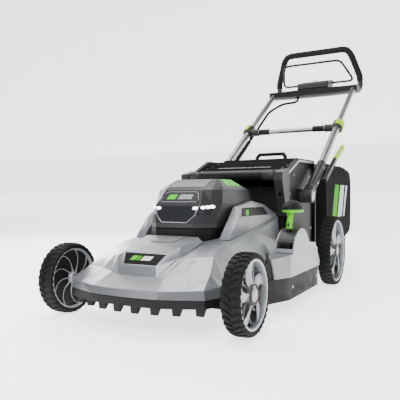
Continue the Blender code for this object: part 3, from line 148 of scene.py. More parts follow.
class Finish(Bench):
    """A material for one of the mower's finishes."""

    def __init__(self, name, colour, roughness, metallic=0.0, **fixed):
        self.material = bpy.data.materials.new(name)
        self.material.use_nodes = True
        super().__init__(self.material.node_tree)
        self.shader = self.tree.nodes["Principled BSDF"]
        self.put(self.shader, {"Base Color": (*colour, 1.0), "Roughness": roughness, "Metallic": metallic})
        self.paint(**fixed)

    def spot(self, stretch=(1.0, 1.0, 1.0), turn=(0.0, 0.0, 0.0)):
        """Place on the object, stretched or turned for a pattern that runs one way."""
        where = self.node("ShaderNodeTexCoord", output="Object")
        return self.node("ShaderNodeMapping", None, {"Vector": where, "Scale": stretch, "Rotation": turn})

    def axis(self, letter):
        where = self.node("ShaderNodeTexCoord", output="Object")
        return self.node("ShaderNodeSeparateXYZ", None, {"Vector": where}, letter)

    def grain(self, scale, detail=2.0, where=None):
        found = where or self.node("ShaderNodeTexCoord", output="Object")
        return self.node("ShaderNodeTexNoise", None, {"Vector": found, "Scale": scale, "Detail": detail})

    def cells(self, scale, where=None):
        found = where or self.node("ShaderNodeTexCoord", output="Object")
        return self.node("ShaderNodeTexVoronoi", None, {"Vector": found, "Scale": scale})

    def tint(self, mask, first, second):
        """One colour where the mask is 0 and another where it is 1."""
        sockets = {"Factor": mask}
        made = self.tree.nodes.new("ShaderNodeMix")
        made.data_type = "RGBA"
        self.put(made, sockets)
        for slot, value in ((6, first), (7, second)):
            if isinstance(value, Feed):
                self.tree.links.new(value.socket, made.inputs[slot])
            else:
                made.inputs[slot].default_value = (*value, 1.0)
        return Feed(self.tree, made.outputs[2])

    def paint(self, **sockets):
        names = {name: name.replace("_", " ").title().replace("Ior", "IOR") for name in sockets}
        self.put(self.shader, {names[name]: value for name, value in sockets.items()})
        return self

    def relief(self, height, distance):
        bumped = self.node("ShaderNodeBump", None,
                           {"Height": height, "Distance": distance, "Strength": 1.0})
        return self.paint(normal=bumped)


floor_finish = Finish("pale_floor", (0.86, 0.86, 0.86), 0.6)
speckle = floor_finish.grain(3.0, 3.0)
floor_finish.paint(base_color=floor_finish.tint(speckle, (0.86, 0.86, 0.86), (0.91, 0.91, 0.91)),
                   emission_color=(1.0, 1.0, 1.0, 1.0), emission_strength=2.0)
sweep = []
for y, z in ((-16.0, 0.0), (9.0, 0.0), (11.2, 0.45), (12.6, 1.8), (13.2, 12.0)):
    sweep.append([Vector((-26.0, y, z)), Vector((26.0, y, z))])
floor_mesh = bpy.data.meshes.new("floor")
floor_mesh.from_pydata([p for row in sweep for p in row], [],
                       [(2 * i, 2 * i + 1, 2 * i + 3, 2 * i + 2) for i in range(len(sweep) - 1)])
floor = bpy.data.objects.new("floor", floor_mesh)
bpy.context.scene.collection.objects.link(floor)
floor_mesh.materials.append(floor_finish.material)

world = bpy.data.worlds.new("studio")
world.use_nodes = True
world.node_tree.nodes["Background"].inputs["Color"].default_value = (1.0, 1.0, 1.0, 1.0)
world.node_tree.nodes["Background"].inputs["Strength"].default_value = 0.24
bpy.context.scene.world = world
for name, place, size, power in (("key_lamp", at(0.6, -2.0, 2.4), 1.1, 105.0),
                                 ("top_lamp", at(-0.5, 0.6, 2.7), 2.0, 95.0),
                                 ("rim_lamp", at(-2.4, 1.6, 1.5), 1.2, 60.0),
                                 ("front_lamp", at(-1.2, -2.8, 0.8), 1.0, 16.0)):
    lamp_data = bpy.data.lights.new(name, "AREA")
    lamp_data.size = size
    lamp_data.energy = power
    lamp = bpy.data.objects.new(name, lamp_data)
    bpy.context.scene.collection.objects.link(lamp)
    lamp.location = place
    lamp.rotation_euler = (at(0.0, 0.4, 0.3) - place).to_track_quat("-Z", "Y").to_euler()

# ---------------- deck pan and bumper strip
# The black skirt is one injection-moulded shell with a fine spark grain. The same grade makes the comb
# strip under the nose, the rear cheeks, the chute, the door and the battery base, all clipped together.


def keep(name, mesh, finish, body, stands_for=()):
    """Makes a finished piece of a mesh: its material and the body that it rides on."""
    obj = bpy.data.objects.new(name, mesh)
    bpy.context.scene.collection.objects.link(obj)
    mesh.materials.clear()
    mesh.materials.append(finish.material)
    if stands_for:
        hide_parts(*stands_for)
    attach(obj, body)
    return obj


def plain(obj):
    """The object's finished mesh, with its modifiers made real and taken off."""
    bpy.context.view_layer.update()
    graph = bpy.context.evaluated_depsgraph_get()
    mesh = bpy.data.meshes.new_from_object(obj.evaluated_get(graph))
    bpy.data.objects.remove(obj, do_unlink=True)
    return mesh


def softened(mesh, width, angle=30, segments=2):
    """A mesh with its sharp edges rounded as a mould leaves them."""
    obj = bpy.data.objects.new("blank", mesh)
    bpy.context.scene.collection.objects.link(obj)
    mesh.shade_smooth()
    mesh.set_sharp_from_angle(angle=math.radians(angle))
    edge = obj.modifiers.new("edges", "BEVEL")
    edge.width = width
    edge.segments = segments
    edge.limit_method = "ANGLE"
    edge.angle_limit = math.radians(angle)
    edge.harden_normals = True
    edge.miter_outer = "MITER_ARC"
    return plain(obj)


def moulded(node, body, finish, width=0.0012, angle=30):
    """A solid's own shape with its edges rounded, standing in for it."""
    bm = bmesh.new()
    bm.from_mesh(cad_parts[node].data)
    bmesh.ops.remove_doubles(bm, verts=bm.verts, dist=0.00002)
    bmesh.ops.dissolve_limit(bm, angle_limit=math.radians(1.0), verts=bm.verts, edges=bm.edges)
    mesh = bpy.data.meshes.new(node + "_finished")
    bm.to_mesh(mesh)
    bm.free()
    return keep(node + "_finished", softened(mesh, width, angle), finish, body, [node])


black_mould = Finish("black_moulded_plastic", (0.012, 0.012, 0.013), 0.46, specular_ior_level=0.16)
cloudy = black_mould.grain(9.0, 4.0)
low_dust = black_mould.axis("Z").under(0.085, 0.08) * black_mould.grain(26.0, 5.0).over(0.47, 0.25)
mould_black = black_mould.tint(cloudy, (0.003, 0.003, 0.0035), (0.008, 0.008, 0.0085))
black_mould.paint(base_color=black_mould.tint(low_dust * 0.22, mould_black, (0.022, 0.020, 0.016)),
                  roughness=0.40 + cloudy * 0.12 + low_dust * 0.20)
black_mould.relief(black_mould.cells(1500.0) * 0.6 + black_mould.grain(700.0) * 0.4, 0.00006)
moulded("deck_pan", "deck", black_mould, 0.0014)
moulded("front_bumper", "deck", black_mould, 0.0012)
moulded("discharge_chute", "deck", black_mould, 0.0012)
moulded("battery_base", "deck", black_mould, 0.0015)

# ---------------- silver deck cover, nose panel and side blocks
# Satin silver shells moulded with metal flake in the plastic and clear-coated. They are faceted, with
# crisp rounded edges, and clip down over the skirt.


def silver_shell(name, lip_at=None):
    shell = Finish(name, (0.21, 0.22, 0.235), 0.33, 0.5, coat_roughness=0.2)
    drift = shell.grain(5.0, 3.0)
    flake = shell.cells(2600.0)
    handled = shell.grain(38.0, 6.0).over(0.60, 0.12)
    skin = shell.tint(drift, (0.168, 0.177, 0.189), (0.218, 0.229, 0.243))
    skin = shell.tint(flake.under(0.22, 0.2) * 0.22, skin, (0.34, 0.36, 0.38))
    if lip_at:
        skin = shell.tint(shell.axis("Z").under(lip_at, 0.0012), skin, (0.135, 0.142, 0.152))
    shell.paint(base_color=skin, roughness=0.27 + drift * 0.08 + handled * 0.12,
                coat_weight=0.25 - handled * 0.15)
    return shell.relief(shell.grain(420.0, 2.0) * 0.7 + flake * 0.3, 0.00003)


silver = silver_shell("silver_clear_coated")
silver_lipped = silver_shell("silver_cover_with_lip", 0.1045)
moulded("deck_cover", "deck", silver_lipped, 0.0022, 8)
moulded("nose_panel", "deck", silver, 0.0016, 14)
moulded("side_block_left", "deck", silver, 0.0024)
moulded("side_block_right", "deck", silver, 0.0024)
moulded("hood_pod_left", "deck", silver, 0.0018)
moulded("hood_pod_right", "deck", silver, 0.0018)

# ---------------- wheels
# Four blow-moulded tyres of black rubber with chevron lugs, pressed on silver nylon rims. Five broad
# twisted spokes join the barrel to the hub, thin ribs stiffen it inside, and a cap snaps over the axle.


class Pattern(Bench):
    """A Geometry Nodes tree that sets out a repeated shape, with named sizes."""

    def __init__(self, name, **sizes):
        super().__init__(bpy.data.node_groups.new(name, "GeometryNodeTree"))
        sides = self.tree.interface
        sides.new_socket("Geometry", in_out="INPUT", socket_type="NodeSocketGeometry")
        for label, kind in sizes.items():
            sides.new_socket(label, in_out="INPUT", socket_type="NodeSocket" + kind)
        sides.new_socket("Geometry", in_out="OUTPUT", socket_type="NodeSocketGeometry")
        self.given = self.tree.nodes.new("NodeGroupInput")

    def size(self, label):
        return Feed(self.tree, self.given.outputs[label])

    def close(self, made):
        """Ends the tree in real geometry with its finish on it."""
        real = self.node("GeometryNodeRealizeInstances", None, {"Geometry": made})
        painted = self.node("GeometryNodeSetMaterial", None,
                            {"Geometry": real, "Material": self.size("Finish")})
        out = self.tree.nodes.new("NodeGroupOutput")
        self.tree.links.new(painted.socket, out.inputs["Geometry"])
        return self


def laid_out(mesh, pattern, finish, **sizes):
    """A pattern run on a mesh with its sizes, as a plain mesh."""
    obj = bpy.data.objects.new("pattern", mesh)
    bpy.context.scene.collection.objects.link(obj)
    modifier = obj.modifiers.new("pattern", "NODES")
    modifier.node_group = pattern.tree
    sizes["Finish"] = finish.material
    for item in pattern.tree.interface.items_tree:
        if item.in_out == "INPUT" and item.name in sizes:
            modifier[item.identifier] = sizes[item.name]
    return plain(obj)


round_axle = Pattern("set_round_the_axle", Count="Int", Centre="Vector", Turn="Float", Finish="Material")
dots = round_axle.node("GeometryNodePoints", None, {"Count": round_axle.size("Count")})
number = round_axle.node("GeometryNodeInputIndex")
step = round_axle.size("Turn") + number * (2 * math.pi) / round_axle.size("Count")
spun = round_axle.node("ShaderNodeCombineXYZ", None, {"X": step})
ring = round_axle.node("GeometryNodeInstanceOnPoints", None,
                       {"Points": dots, "Instance": round_axle.size("Geometry"), "Rotation": spun})
round_axle.close(round_axle.node("GeometryNodeTransform", None,
                                 {"Geometry": ring, "Translation": round_axle.size("Centre")}))


def skin_between(rows, closed=True, caps=False):
    """A mesh through rows that all have the same number of points."""
    bm = bmesh.new()
    made = [[bm.verts.new(p) for p in row] for row in rows]
    for row, following in zip(made, made[1:]):
        for i in range(len(row) if closed else len(row) - 1):
            j = (i + 1) % len(row)
            bm.faces.new((row[i], row[j], following[j], following[i]))
    if caps:
        bm.faces.new(made[0])
        bm.faces.new(made[-1])
    bmesh.ops.remove_doubles(bm, verts=bm.verts, dist=1e-6)
    bmesh.ops.recalc_face_normals(bm, faces=bm.faces)
    mesh = bpy.data.meshes.new("skin")
    bm.to_mesh(mesh)
    bm.free()
    return mesh


def smooth(mesh, angle=35):
    mesh.shade_smooth()
    mesh.set_sharp_from_angle(angle=math.radians(angle))
    return mesh


def turned_on_x(profile, centre=(0.0, 0.0, 0.0), steps=64):
    """A closed profile of (x, radius) points turned round an axis along X."""
    rows = []
    for i in range(steps + 1):
        angle = 2 * math.pi * i / steps
        rows.append([Vector((centre[0] + x, centre[1] + r * math.sin(angle),
                             centre[2] + r * math.cos(angle)))
                     for x, r in profile])
    return smooth(skin_between(rows))


def lug(radius, flip, pitch):
    """One tread lug: a bar bent back from the middle to the shoulder, where it turns down."""
    rows = []
    for x, start, width, drop in ((0.0012, 0.0, 0.44, 0.0004), (0.0075, 0.16, 0.44, 0.0004),
                                  (0.0125, 0.30, 0.52, 0.0007), (0.0185, 0.32, 0.52, 0.0020),
                                  (0.0228, 0.32, 0.50, 0.0052), (0.0238, 0.34, 0.46, 0.0085)):
        row = []
        for along, lift in ((start, -0.0052), (start, -0.0006), (start + 0.05, 0.0),
                            (start + width - 0.05, 0.0), (start + width, -0.0006),
                            (start + width, -0.0052)):
            angle = (along + (0.5 if flip else 0.0)) * pitch
            r = radius - drop + lift
            row.append(Vector((-x if flip else x, r * math.sin(angle), r * math.cos(angle))))
        rows.append(row)
    return skin_between(rows, caps=True)


def joined(*meshes):
    bm = bmesh.new()
    for mesh in meshes:
        bm.from_mesh(mesh)
    made = bpy.data.meshes.new("joined")
    bm.to_mesh(made)
    bm.free()
    return made


def spoke(start, end, hub_width, rim_width):
    """A broad spoke that leans round the wheel and untwists towards the barrel."""
    rows = []
    for i in range(9):
        t = i / 8
        r = start + (end - start) * t
        lean = 0.42 * t * t - 0.10
        twist = math.radians(34) * (1 - t) ** 1.5 + math.radians(6)
        half = (hub_width + (rim_width - hub_width) * t ** 1.6) / 2
        middle = 0.0155 - 0.0035 * t - 0.0030 * math.sin(math.pi * t)
        row = []
        for across, thick in ((-1.0, -0.0020), (-1.0, 0.0012), (-0.45, 0.0021), (0.45, 0.0021),
                              (1.0, 0.0012),
                              (1.0, -0.0020)):
            s = across * half * math.cos(twist)
            x = middle + across * half * math.sin(twist) * 0.55 + thick
            row.append(Vector((min(x, 0.0210), r * math.sin(lean) + s * math.cos(lean),
                               r * math.cos(lean) - s * math.sin(lean))))
        rows.append(row)
    return softened(skin_between(rows, caps=True), 0.0008, 40)


def stiffening_rib(start, end):
    rows = []
    for i in range(7):
        t = i / 6
        r = start + (end - start) * t
        lean = -0.50 * t * t
        y, z = r * math.sin(lean), r * math.cos(lean)
        side = Vector((0.0, math.cos(lean), -math.sin(lean))) * 0.0010
        back = -0.0190 + 0.0050 * math.sin(math.pi * t)
        rows.append([Vector((x, y, z)) + side * s for x,
                     s in ((back, -1), (0.0090, -1), (0.0090, 1), (back, 1))])
    return skin_between(rows, caps=True)


def painted_shade_crescent(outer, inner, shift, low, high, steps=48):
    """A black crescent round the hub cap, thick below and thin above: painted shade of the recess round the
    cap, not a moulded part.
    """
    rows = []
    for i in range(steps + 1):
        angle = 2 * math.pi * i / steps
        s, c = math.sin(angle), math.cos(angle)
        rows.append([Vector((x, r * s, r * c + (shift if r == inner else 0.0)))
                     for x, r in ((low, inner), (high, inner), (high, outer), (low, outer))])
    return smooth(skin_between(rows))


rubber = Finish("tyre_rubber", (0.013, 0.013, 0.013), 0.70, specular_ior_level=0.14)
rubber_drift = rubber.grain(30.0, 5.0)
rubber.paint(base_color=rubber.tint(rubber.grain(11.0, 6.0).over(0.55, 0.2) * 0.5,
                                    rubber.tint(rubber_drift, (0.004, 0.004, 0.004), (0.009, 0.009, 0.009)),
                                    (0.020, 0.018, 0.015)), roughness=0.60 + rubber_drift * 0.22)
rubber.relief(rubber.grain(600.0, 4.0), 0.00012)
rim_silver = Finish("rim_silver_nylon", (0.50, 0.52, 0.54), 0.36, 0.35)
rim_drift = rim_silver.grain(20.0, 4.0)
rim_silver.paint(base_color=rim_silver.tint(rim_drift, (0.24, 0.25, 0.262), (0.33, 0.344, 0.36)),
                 roughness=0.28 + rim_drift * 0.16)
rim_silver.relief(rim_silver.grain(500.0, 2.0), 0.00003)

for end, lugs in (("front", 34), ("rear", 42)):
    for side, out in (("left", 1), ("right", -1)):
        wheel = f"{end}_wheel_{side}"
        low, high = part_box(wheel + "_tyre")
        centre = [(a + b) / 2 for a, b in zip(low, high)]
        radius = (high[2] - low[2]) / 2
        seat = radius - 0.0145
        barrel_r = seat - 0.0003
        lip = barrel_r - 0.0070
        half = [(0.0200, seat), (0.0226, seat + 0.0018), (0.0232, seat + 0.0042), (0.0222, seat + 0.0050),
                (0.0224, seat + 0.0066), (0.0214, radius - 0.0058), (0.0180, radius - 0.0042),
                (0.0, radius - 0.0036)]
        carcass = turned_on_x(half + [(-x, r) for x, r in reversed(half[:-1])], centre, 84)
        keep(wheel + "_carcass", carcass, rubber, wheel, [wheel + "_tyre"])
        pair = joined(*[lug(radius, flip, 2 * math.pi / lugs) for flip in (False, True)])
        tread = laid_out(pair, round_axle, rubber, Count=lugs, Centre=centre, Turn=0.0)
        keep(wheel + "_tread", smooth(tread, 30), rubber, wheel)

        face = [(0.0205, barrel_r), (0.0215, barrel_r - 0.0010), (0.0215, barrel_r - 0.0028),
                (0.0196, lip + 0.0006),
                (0.0120, lip - 0.0004), (0.0040, lip + 0.0012), (-0.0190, lip + 0.0024),
                (-0.0215, barrel_r - 0.0028),
                (-0.0215, barrel_r - 0.0010), (-0.0205, barrel_r)]
        hub = [(-0.0225, 0.0064), (-0.0225, 0.0140), (-0.0215, 0.0150), (-0.0100, 0.0178), (0.0060, 0.0200),
               (0.0150, 0.0222), (0.0172, 0.0222), (0.0184, 0.0208), (0.0184, 0.0064)]
        rim = joined(turned_on_x([(out * x, r) for x, r in face], (0, 0, 0), 72),
                     turned_on_x([(out * x, r) for x, r in hub], (0, 0, 0), 40))
        rim = laid_out(rim, round_axle, rim_silver, Count=1, Centre=centre, Turn=0.0)
        keep(wheel + "_barrel_and_hub", smooth(rim), rim_silver, wheel, [wheel + "_rim"])
        spokes = laid_out(spoke(0.0185, lip + 0.0016, 0.021, lip * 0.47), round_axle, rim_silver, Count=5,
                          Centre=(0, 0, 0), Turn=0.3)
        ribs = laid_out(stiffening_rib(0.0150, lip + 0.0020), round_axle, rim_silver, Count=9,
                        Centre=(0, 0, 0), Turn=0.1)
        web = joined(spokes, ribs)
        if out < 0:
            web.transform(Matrix.Scale(-1, 4, (1, 0, 0)))
            web.flip_normals()
        web.transform(Matrix.Translation(centre))
        keep(wheel + "_spokes", smooth(web, 30), rim_silver, wheel)
        cap = [(0.0186, 0.0), (0.0186, 0.0163), (0.0205, 0.0160), (0.0220, 0.0142), (0.0229, 0.0100),
               (0.0232, 0.0050),
               (0.0233, 0.0)]
        cap = turned_on_x([(out * x, r) for x, r in cap], centre, 40)
        keep(wheel + "_cap", cap, rim_silver, wheel)
        # A black disc set behind the spokes and ribs darkens the gaps between them: painted shade inside
        # the wheel, not a real part of it.
        shade = [(-0.0128, 0.0170), (-0.0128, lip + 0.0014), (-0.0116, lip + 0.0014), (-0.0116, 0.0170)]
        keep(wheel + "_painted_shade_disc", turned_on_x([(out * x, r) for x, r in shade + shade[:1]], centre, 56),
             black_mould,
             wheel)
        # The black crescent round each hub cap is painted shade in the hub's recess, made in the black
        # moulded-plastic finish.
        cap_shade_piece = painted_shade_crescent(0.0252, 0.0176, 0.0040, out * 0.0186, out * 0.0202)
        cap_shade_piece.transform(Matrix.Translation(centre))
        keep(wheel + "_cap_painted_shade", cap_shade_piece, black_mould, wheel)

# ---------------- axles, link rod and lever
# Bright zinc-plated steel: two cranked axles, and the link rod that turns them together. The black
# lever moves the link, and carries a soft green stem under a black palm knob.
zinc = Finish("zinc_plated_steel", (0.55, 0.55, 0.53), 0.30, 1.0)
zinc_streak = zinc.grain(60.0, 3.0, zinc.spot((0.08, 1.0, 1.0)))
zinc.paint(base_color=zinc.tint(zinc.grain(8.0, 3.0), (0.47, 0.47, 0.45), (0.62, 0.62, 0.60)),
           roughness=0.22 + zinc_streak * 0.22)
zinc.relief(zinc_streak, 0.00004)
for node, body in (("front_axle", "front_axle_body"), ("rear_axle", "rear_axle_body"),
                   ("link_rod", "link_rod_body"),
                   ("motor_rotor", "blade_body")):
    moulded(node, body, zinc, 0.0004, 40)

charcoal = Finish("charcoal_moulded_plastic", (0.034, 0.035, 0.038), 0.42, specular_ior_level=0.22)
charcoal_drift = charcoal.grain(12.0, 4.0)
charcoal.paint(base_color=charcoal.tint(charcoal_drift, (0.014, 0.0145, 0.016), (0.024, 0.025, 0.027)),
               roughness=0.34 + charcoal_drift * 0.16)
charcoal.relief(charcoal.cells(1700.0) * 0.6 + charcoal.grain(900.0) * 0.4, 0.00005)
moulded("lever_gate", "deck", charcoal, 0.0008)
moulded("motor_housing", "deck", charcoal, 0.0015)
moulded("side_flap", "side_flap_body", charcoal, 0.0006)

ecoat = Finish("black_e_coated_steel", (0.012, 0.012, 0.013), 0.42, 0.3)
worn = ecoat.grain(55.0, 6.0).over(0.60, 0.10) * ecoat.axis("X").math("ABSOLUTE").over(0.17, 0.06)
ecoat.paint(base_color=ecoat.tint(worn, (0.020, 0.020, 0.022), (0.42, 0.41, 0.40)),
            roughness=0.45 - worn * 0.15)
ecoat.relief(ecoat.grain(240.0, 3.0), 0.00005)
moulded("lever_arm", "height_lever_body", ecoat, 0.0005)
moulded("blade", "blade_body", ecoat, 0.0006)

knob_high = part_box("lever_knob")[1]
KNOB_RIM = knob_high[2] - 0.0285
palm_knob = Finish("palm_knob_over_green_stem", (0.02, 0.02, 0.02), 0.5, specular_ior_level=0.15)
knob_skin = palm_knob.axis("Z").over(KNOB_RIM, 0.0008)
palm_knob.paint(base_color=palm_knob.tint(knob_skin, (0.085, 0.42, 0.004), (0.006, 0.006, 0.0065)),
                roughness=0.34 + knob_skin * 0.20 + palm_knob.grain(30.0) * 0.08)
palm_knob.relief(palm_knob.cells(900.0), 0.00008)
moulded("lever_knob", "height_lever_body", palm_knob, 0.0012, 35)

# ---------------- nose badge plate and cover trim
# A gloss black plate is glued in a recess on the nose panel's front, with two plain green bars. A low
# silver step in front of the hood, and screws in the side covers, finish the deck.


def plate_over(rows, out, thick, sink=0.0008):
    """A thin plate that follows a grid of points, standing out from it and let in behind it."""
    out = Vector(out).normalized()
    bm = bmesh.new()
    tops = [[bm.verts.new(Vector(p) + out * thick) for p in row] for row in rows]
    feet = [[bm.verts.new(Vector(p) - out * sink) for p in row] for row in rows]
    for grid in (tops, feet):
        for row, following in zip(grid, grid[1:]):
            for a, b, c, d in zip(row, row[1:], following[1:], following):
                bm.faces.new((a, b, c, d))
    rim_top, rim_foot = [grid[0] + [row[-1] for row in grid[1:]] + grid[-1][-2::-1]
                         + [row[0] for row in grid[-2:0:-1]] for grid in (tops, feet)]
    for i, vert in enumerate(rim_top):
        j = (i + 1) % len(rim_top)
        bm.faces.new((vert, rim_top[j], rim_foot[j], rim_foot[i]))
    bmesh.ops.recalc_face_normals(bm, faces=bm.faces)
    mesh = bpy.data.meshes.new("plate")
    bm.to_mesh(mesh)
    bm.free()
    return mesh


def both_sides(mesh):
    """The mesh and its mirror image on the other side of the mower."""
    other = mesh.copy()
    other.transform(Matrix.Scale(-1, 4, (1, 0, 0)))
    other.flip_normals()
    return joined(mesh, other)


def lerp(a, b, t):
    return Vector(a) + (Vector(b) - Vector(a)) * t


gloss_black = Finish("gloss_black_trim", (0.004, 0.004, 0.0045), 0.34, specular_ior_level=0.08)
smear = gloss_black.grain(45.0, 5.0)
gloss_black.paint(roughness=0.30 + smear * 0.16)
gloss_black.relief(smear, 0.00001)
leaf_green = Finish("leaf_green_plastic", (0.06, 0.45, 0.006), 0.36, specular_ior_level=0.12)
leaf_drift = leaf_green.grain(25.0, 4.0)
leaf_green.paint(base_color=leaf_green.tint(leaf_drift, (0.050, 0.40, 0.004), (0.075, 0.50, 0.010)),
                 roughness=0.24 + leaf_drift * 0.16)
leaf_green.relief(leaf_green.cells(1100.0), 0.00004)

nose_out = (0.0, -0.70, 0.71)
badge = [[at(x * w, y, z) for x in (-1.0, -0.5, 0.0, 0.5, 1.0)]
         for w, y, z in ((0.0475, -0.0412, 0.1525), (0.0535, -0.0280, 0.1640), (0.0605, -0.0140, 0.1762))]
keep("badge_plate", softened(plate_over(badge, nose_out, 0.0012), 0.0006), gloss_black, "deck")
for name, start, width, colour, slot in (("badge_bar_wide", -0.036, 0.016, leaf_green, "lime_plastic"),
                                         ("badge_bar_narrow", -0.016, 0.006, leaf_green, "lime_plastic"),
                                         ("badge_bar_pale", -0.004, 0.028, zinc, "silver_plastic")):
    bar = [[at(start + shift, y, z), at(start + shift + width, y, z)]
           for shift, y, z in ((0.0, -0.0320, 0.1606), (0.006, -0.0210, 0.1701))]
    keep(name, plate_over(bar, nose_out, 0.0016), colour, "deck")
step = [[at(x * w, y, z) for x in (-1.0, 0.0, 1.0)] for w, y,
        z in ((0.034, 0.060, 0.1992), (0.046, 0.106, 0.2105))]
keep("nose_step", softened(plate_over(step, (0.0, -0.25, 0.97), 0.0030), 0.0010), silver, "deck")

# ---------------- battery hood, lamps and pods
# The hood is one charcoal moulding over the battery. A smoked window with a thin bright rim lets the
# lamps shine through at its corners. Green inlays run over the shoulders, and silver pods stand beside.
hood_plans = [(0.2460, [(0.0, 0.1190), (0.058, 0.1210), (0.086, 0.142), (0.104, 0.172), (0.114, 0.260)]),
              (0.2970, [(0.0, 0.1400), (0.071, 0.1430), (0.092, 0.170), (0.108, 0.203), (0.115, 0.290)]),
              (0.3380, [(0.0, 0.1720), (0.060, 0.1750), (0.084, 0.190), (0.104, 0.212), (0.110, 0.290)])]


def on_hood(level, u, v):
    """A place on the hood: u counts corners round from the middle, v rises between two levels."""
    corner = min(int(abs(u)), 3)
    found = []
    for z, plan in hood_plans[level:level + 2]:
        x, y = Vector(plan[corner]).lerp(Vector(plan[corner + 1]), abs(u) - corner)
        found.append(at(math.copysign(x, u) if x else 0.0, y, z))
    return found[0].lerp(found[1], v)


hood_gloss = Finish("charcoal_hood_satin", (0.040, 0.041, 0.044), 0.34, 0.05, specular_ior_level=0.22)
hood_drift = hood_gloss.grain(7.0, 3.0)
hood_gloss.paint(base_color=hood_gloss.tint(hood_drift, (0.018, 0.0185, 0.020), (0.032, 0.033, 0.036)),
                 roughness=0.28 + hood_gloss.grain(40.0, 5.0) * 0.14)
hood_gloss.relief(hood_gloss.cells(2000.0) * 0.5 + hood_drift * 0.5, 0.00003)
moulded("battery_hood", "battery_hood_body", hood_gloss, 0.0020, 12)
moulded("hood_latch", "hood_latch_body", silver, 0.0008)
FORWARD = (0.0, -0.92, 0.39)
window = [[on_hood(0, u * w, v) for u in (-1.0, -0.55, 0.0, 0.55, 1.0)]
          for w, v in ((0.66, 0.04), (0.80, 0.20), (0.94, 0.42), (0.99, 0.94))]
roof_satin = Finish("grey_satin_roof", (0.10, 0.102, 0.107), 0.34, specular_ior_level=0.4)
# The roof panel's grey is painted lighter at its low front edge and darker towards its top: a painted
# reflection gradient over the panel's own satin grey.
roof_painted_reflection = roof_satin.axis("Z").over(0.358, 0.022)
roof_satin.paint(base_color=roof_satin.tint(roof_painted_reflection, (0.150, 0.152, 0.158), (0.080, 0.082, 0.086)),
                 roughness=0.30 + roof_satin.grain(40.0, 5.0) * 0.12)
roof_satin.relief(roof_satin.cells(2000.0), 0.00003)
roof = [[at(x * 0.056, y - 0.0018 * (1 - abs(x)), z) for x in (-1.0, 0.0, 1.0)] for y,
        z in ((0.1915, 0.3464), (0.2480, 0.3686))]
keep("hood_roof_panel", softened(plate_over(roof, (0.0, -0.366, 0.931), 0.0012), 0.0005), roof_satin,
     "battery_hood_body")
smoked = Finish("smoked_window", (0.012, 0.013, 0.015), 0.08, coat_weight=0.6)
smoked.paint(roughness=0.06 + smoked.grain(30.0, 5.0) * 0.10)
smoked.relief(smoked.grain(20.0), 0.00001)
keep("hood_window", softened(plate_over(window, FORWARD, 0.0011), 0.0005), smoked, "battery_hood_body")
corner_window = [[on_hood(0, u, v) for u in (1.02, 1.35, 1.70, 2.0, 2.20)] for v in (0.46, 0.70, 0.94)]
keep("hood_corner_windows", both_sides(plate_over(corner_window, (0.55, -0.75, 0.36), 0.0011)), smoked,
     "battery_hood_body")
bright_rim = Finish("bright_window_rim", (0.30, 0.31, 0.33), 0.25, 0.6)
bright_rim.paint(roughness=0.20 + bright_rim.grain(60.0) * 0.16)
bright_rim.relief(bright_rim.grain(400.0), 0.00002)


def thread(points, radius, sides=8, ring=False):
    """A round strand that follows the points."""
    rows = []
    count = len(points)
    for i, point in enumerate(points):
        ahead = points[(i + 1) % count] if ring or i + 1 < count else point
        behind = points[i - 1] if ring or i else point
        forward = (ahead - behind).normalized()
        flat = forward.cross(Vector((0.36, 0.48, 0.80))).normalized()
        lift = forward.cross(flat)
        rows.append([point + (flat * math.cos(a) + lift * math.sin(a)) * radius
                     for a in (2 * math.pi * k / sides for k in range(sides))])
    if ring:
        rows.append(rows[0])
    return smooth(skin_between(rows, caps=not ring), 50)


rim_line = [on_hood(0, u, v) + Vector(FORWARD) * 0.0010 for u, v in
            ((0.99, 0.94), (0.94, 0.42), (0.80, 0.20), (0.66, 0.04), (0.30, 0.04), (0.0, 0.04),
             (-0.30, 0.04),
             (-0.66, 0.04), (-0.80, 0.20), (-0.94, 0.42), (-0.99, 0.94))]
keep("hood_window_rim", thread(rim_line, 0.0013), bright_rim, "battery_hood_body")

lamp_white = Finish("white_lamp_lens", (0.90, 0.93, 1.0), 0.15, emission_color=(0.93, 0.97, 1.0, 1.0),
                    emission_strength=6.0)
lamp_white.paint(roughness=0.12 + lamp_white.grain(200.0) * 0.1)
lamp_white.relief(lamp_white.cells(700.0), 0.0002)


def lens(centre, out, across, tall, deep):
    """A domed lens with a flat back, facing out."""
    out = Vector(out).normalized()
    side = out.cross(Vector((0, 0, 1))).normalized()
    up = side.cross(out)
    rows = []
    for reach, rise in ((1.0, -0.4), (1.0, 0.0), (0.86, 0.5), (0.55, 0.84), (0.0, 1.0)):
        rows.append([centre + side * (across * reach * math.cos(a)) + up * (tall * reach * math.sin(a))
                     + out * (deep * rise) for a in (2 * math.pi * k / 20 for k in range(20))])
    mesh = skin_between(rows)
    bm = bmesh.new()
    bm.from_mesh(mesh)
    bmesh.ops.holes_fill(bm, edges=bm.edges)
    bmesh.ops.recalc_face_normals(bm, faces=bm.faces)
    bm.to_mesh(mesh)
    bm.free()
    return smooth(mesh, 50)


lamps = []
for u, v, out in ((0.86, 0.80, (0.15, -0.92, 0.36)), (1.30, 0.84, (0.50, -0.78, 0.36)),
                  (1.72, 0.86, (0.55, -0.75, 0.36)),
                  (2.10, 0.88, (0.75, -0.55, 0.36))):
    lamps.append(lens(on_hood(0, u, v) + Vector(out) * 0.0012, out, 0.0088, 0.0046, 0.0020))
keep("hood_lamps", both_sides(joined(*lamps)), lamp_white, "battery_hood_body")

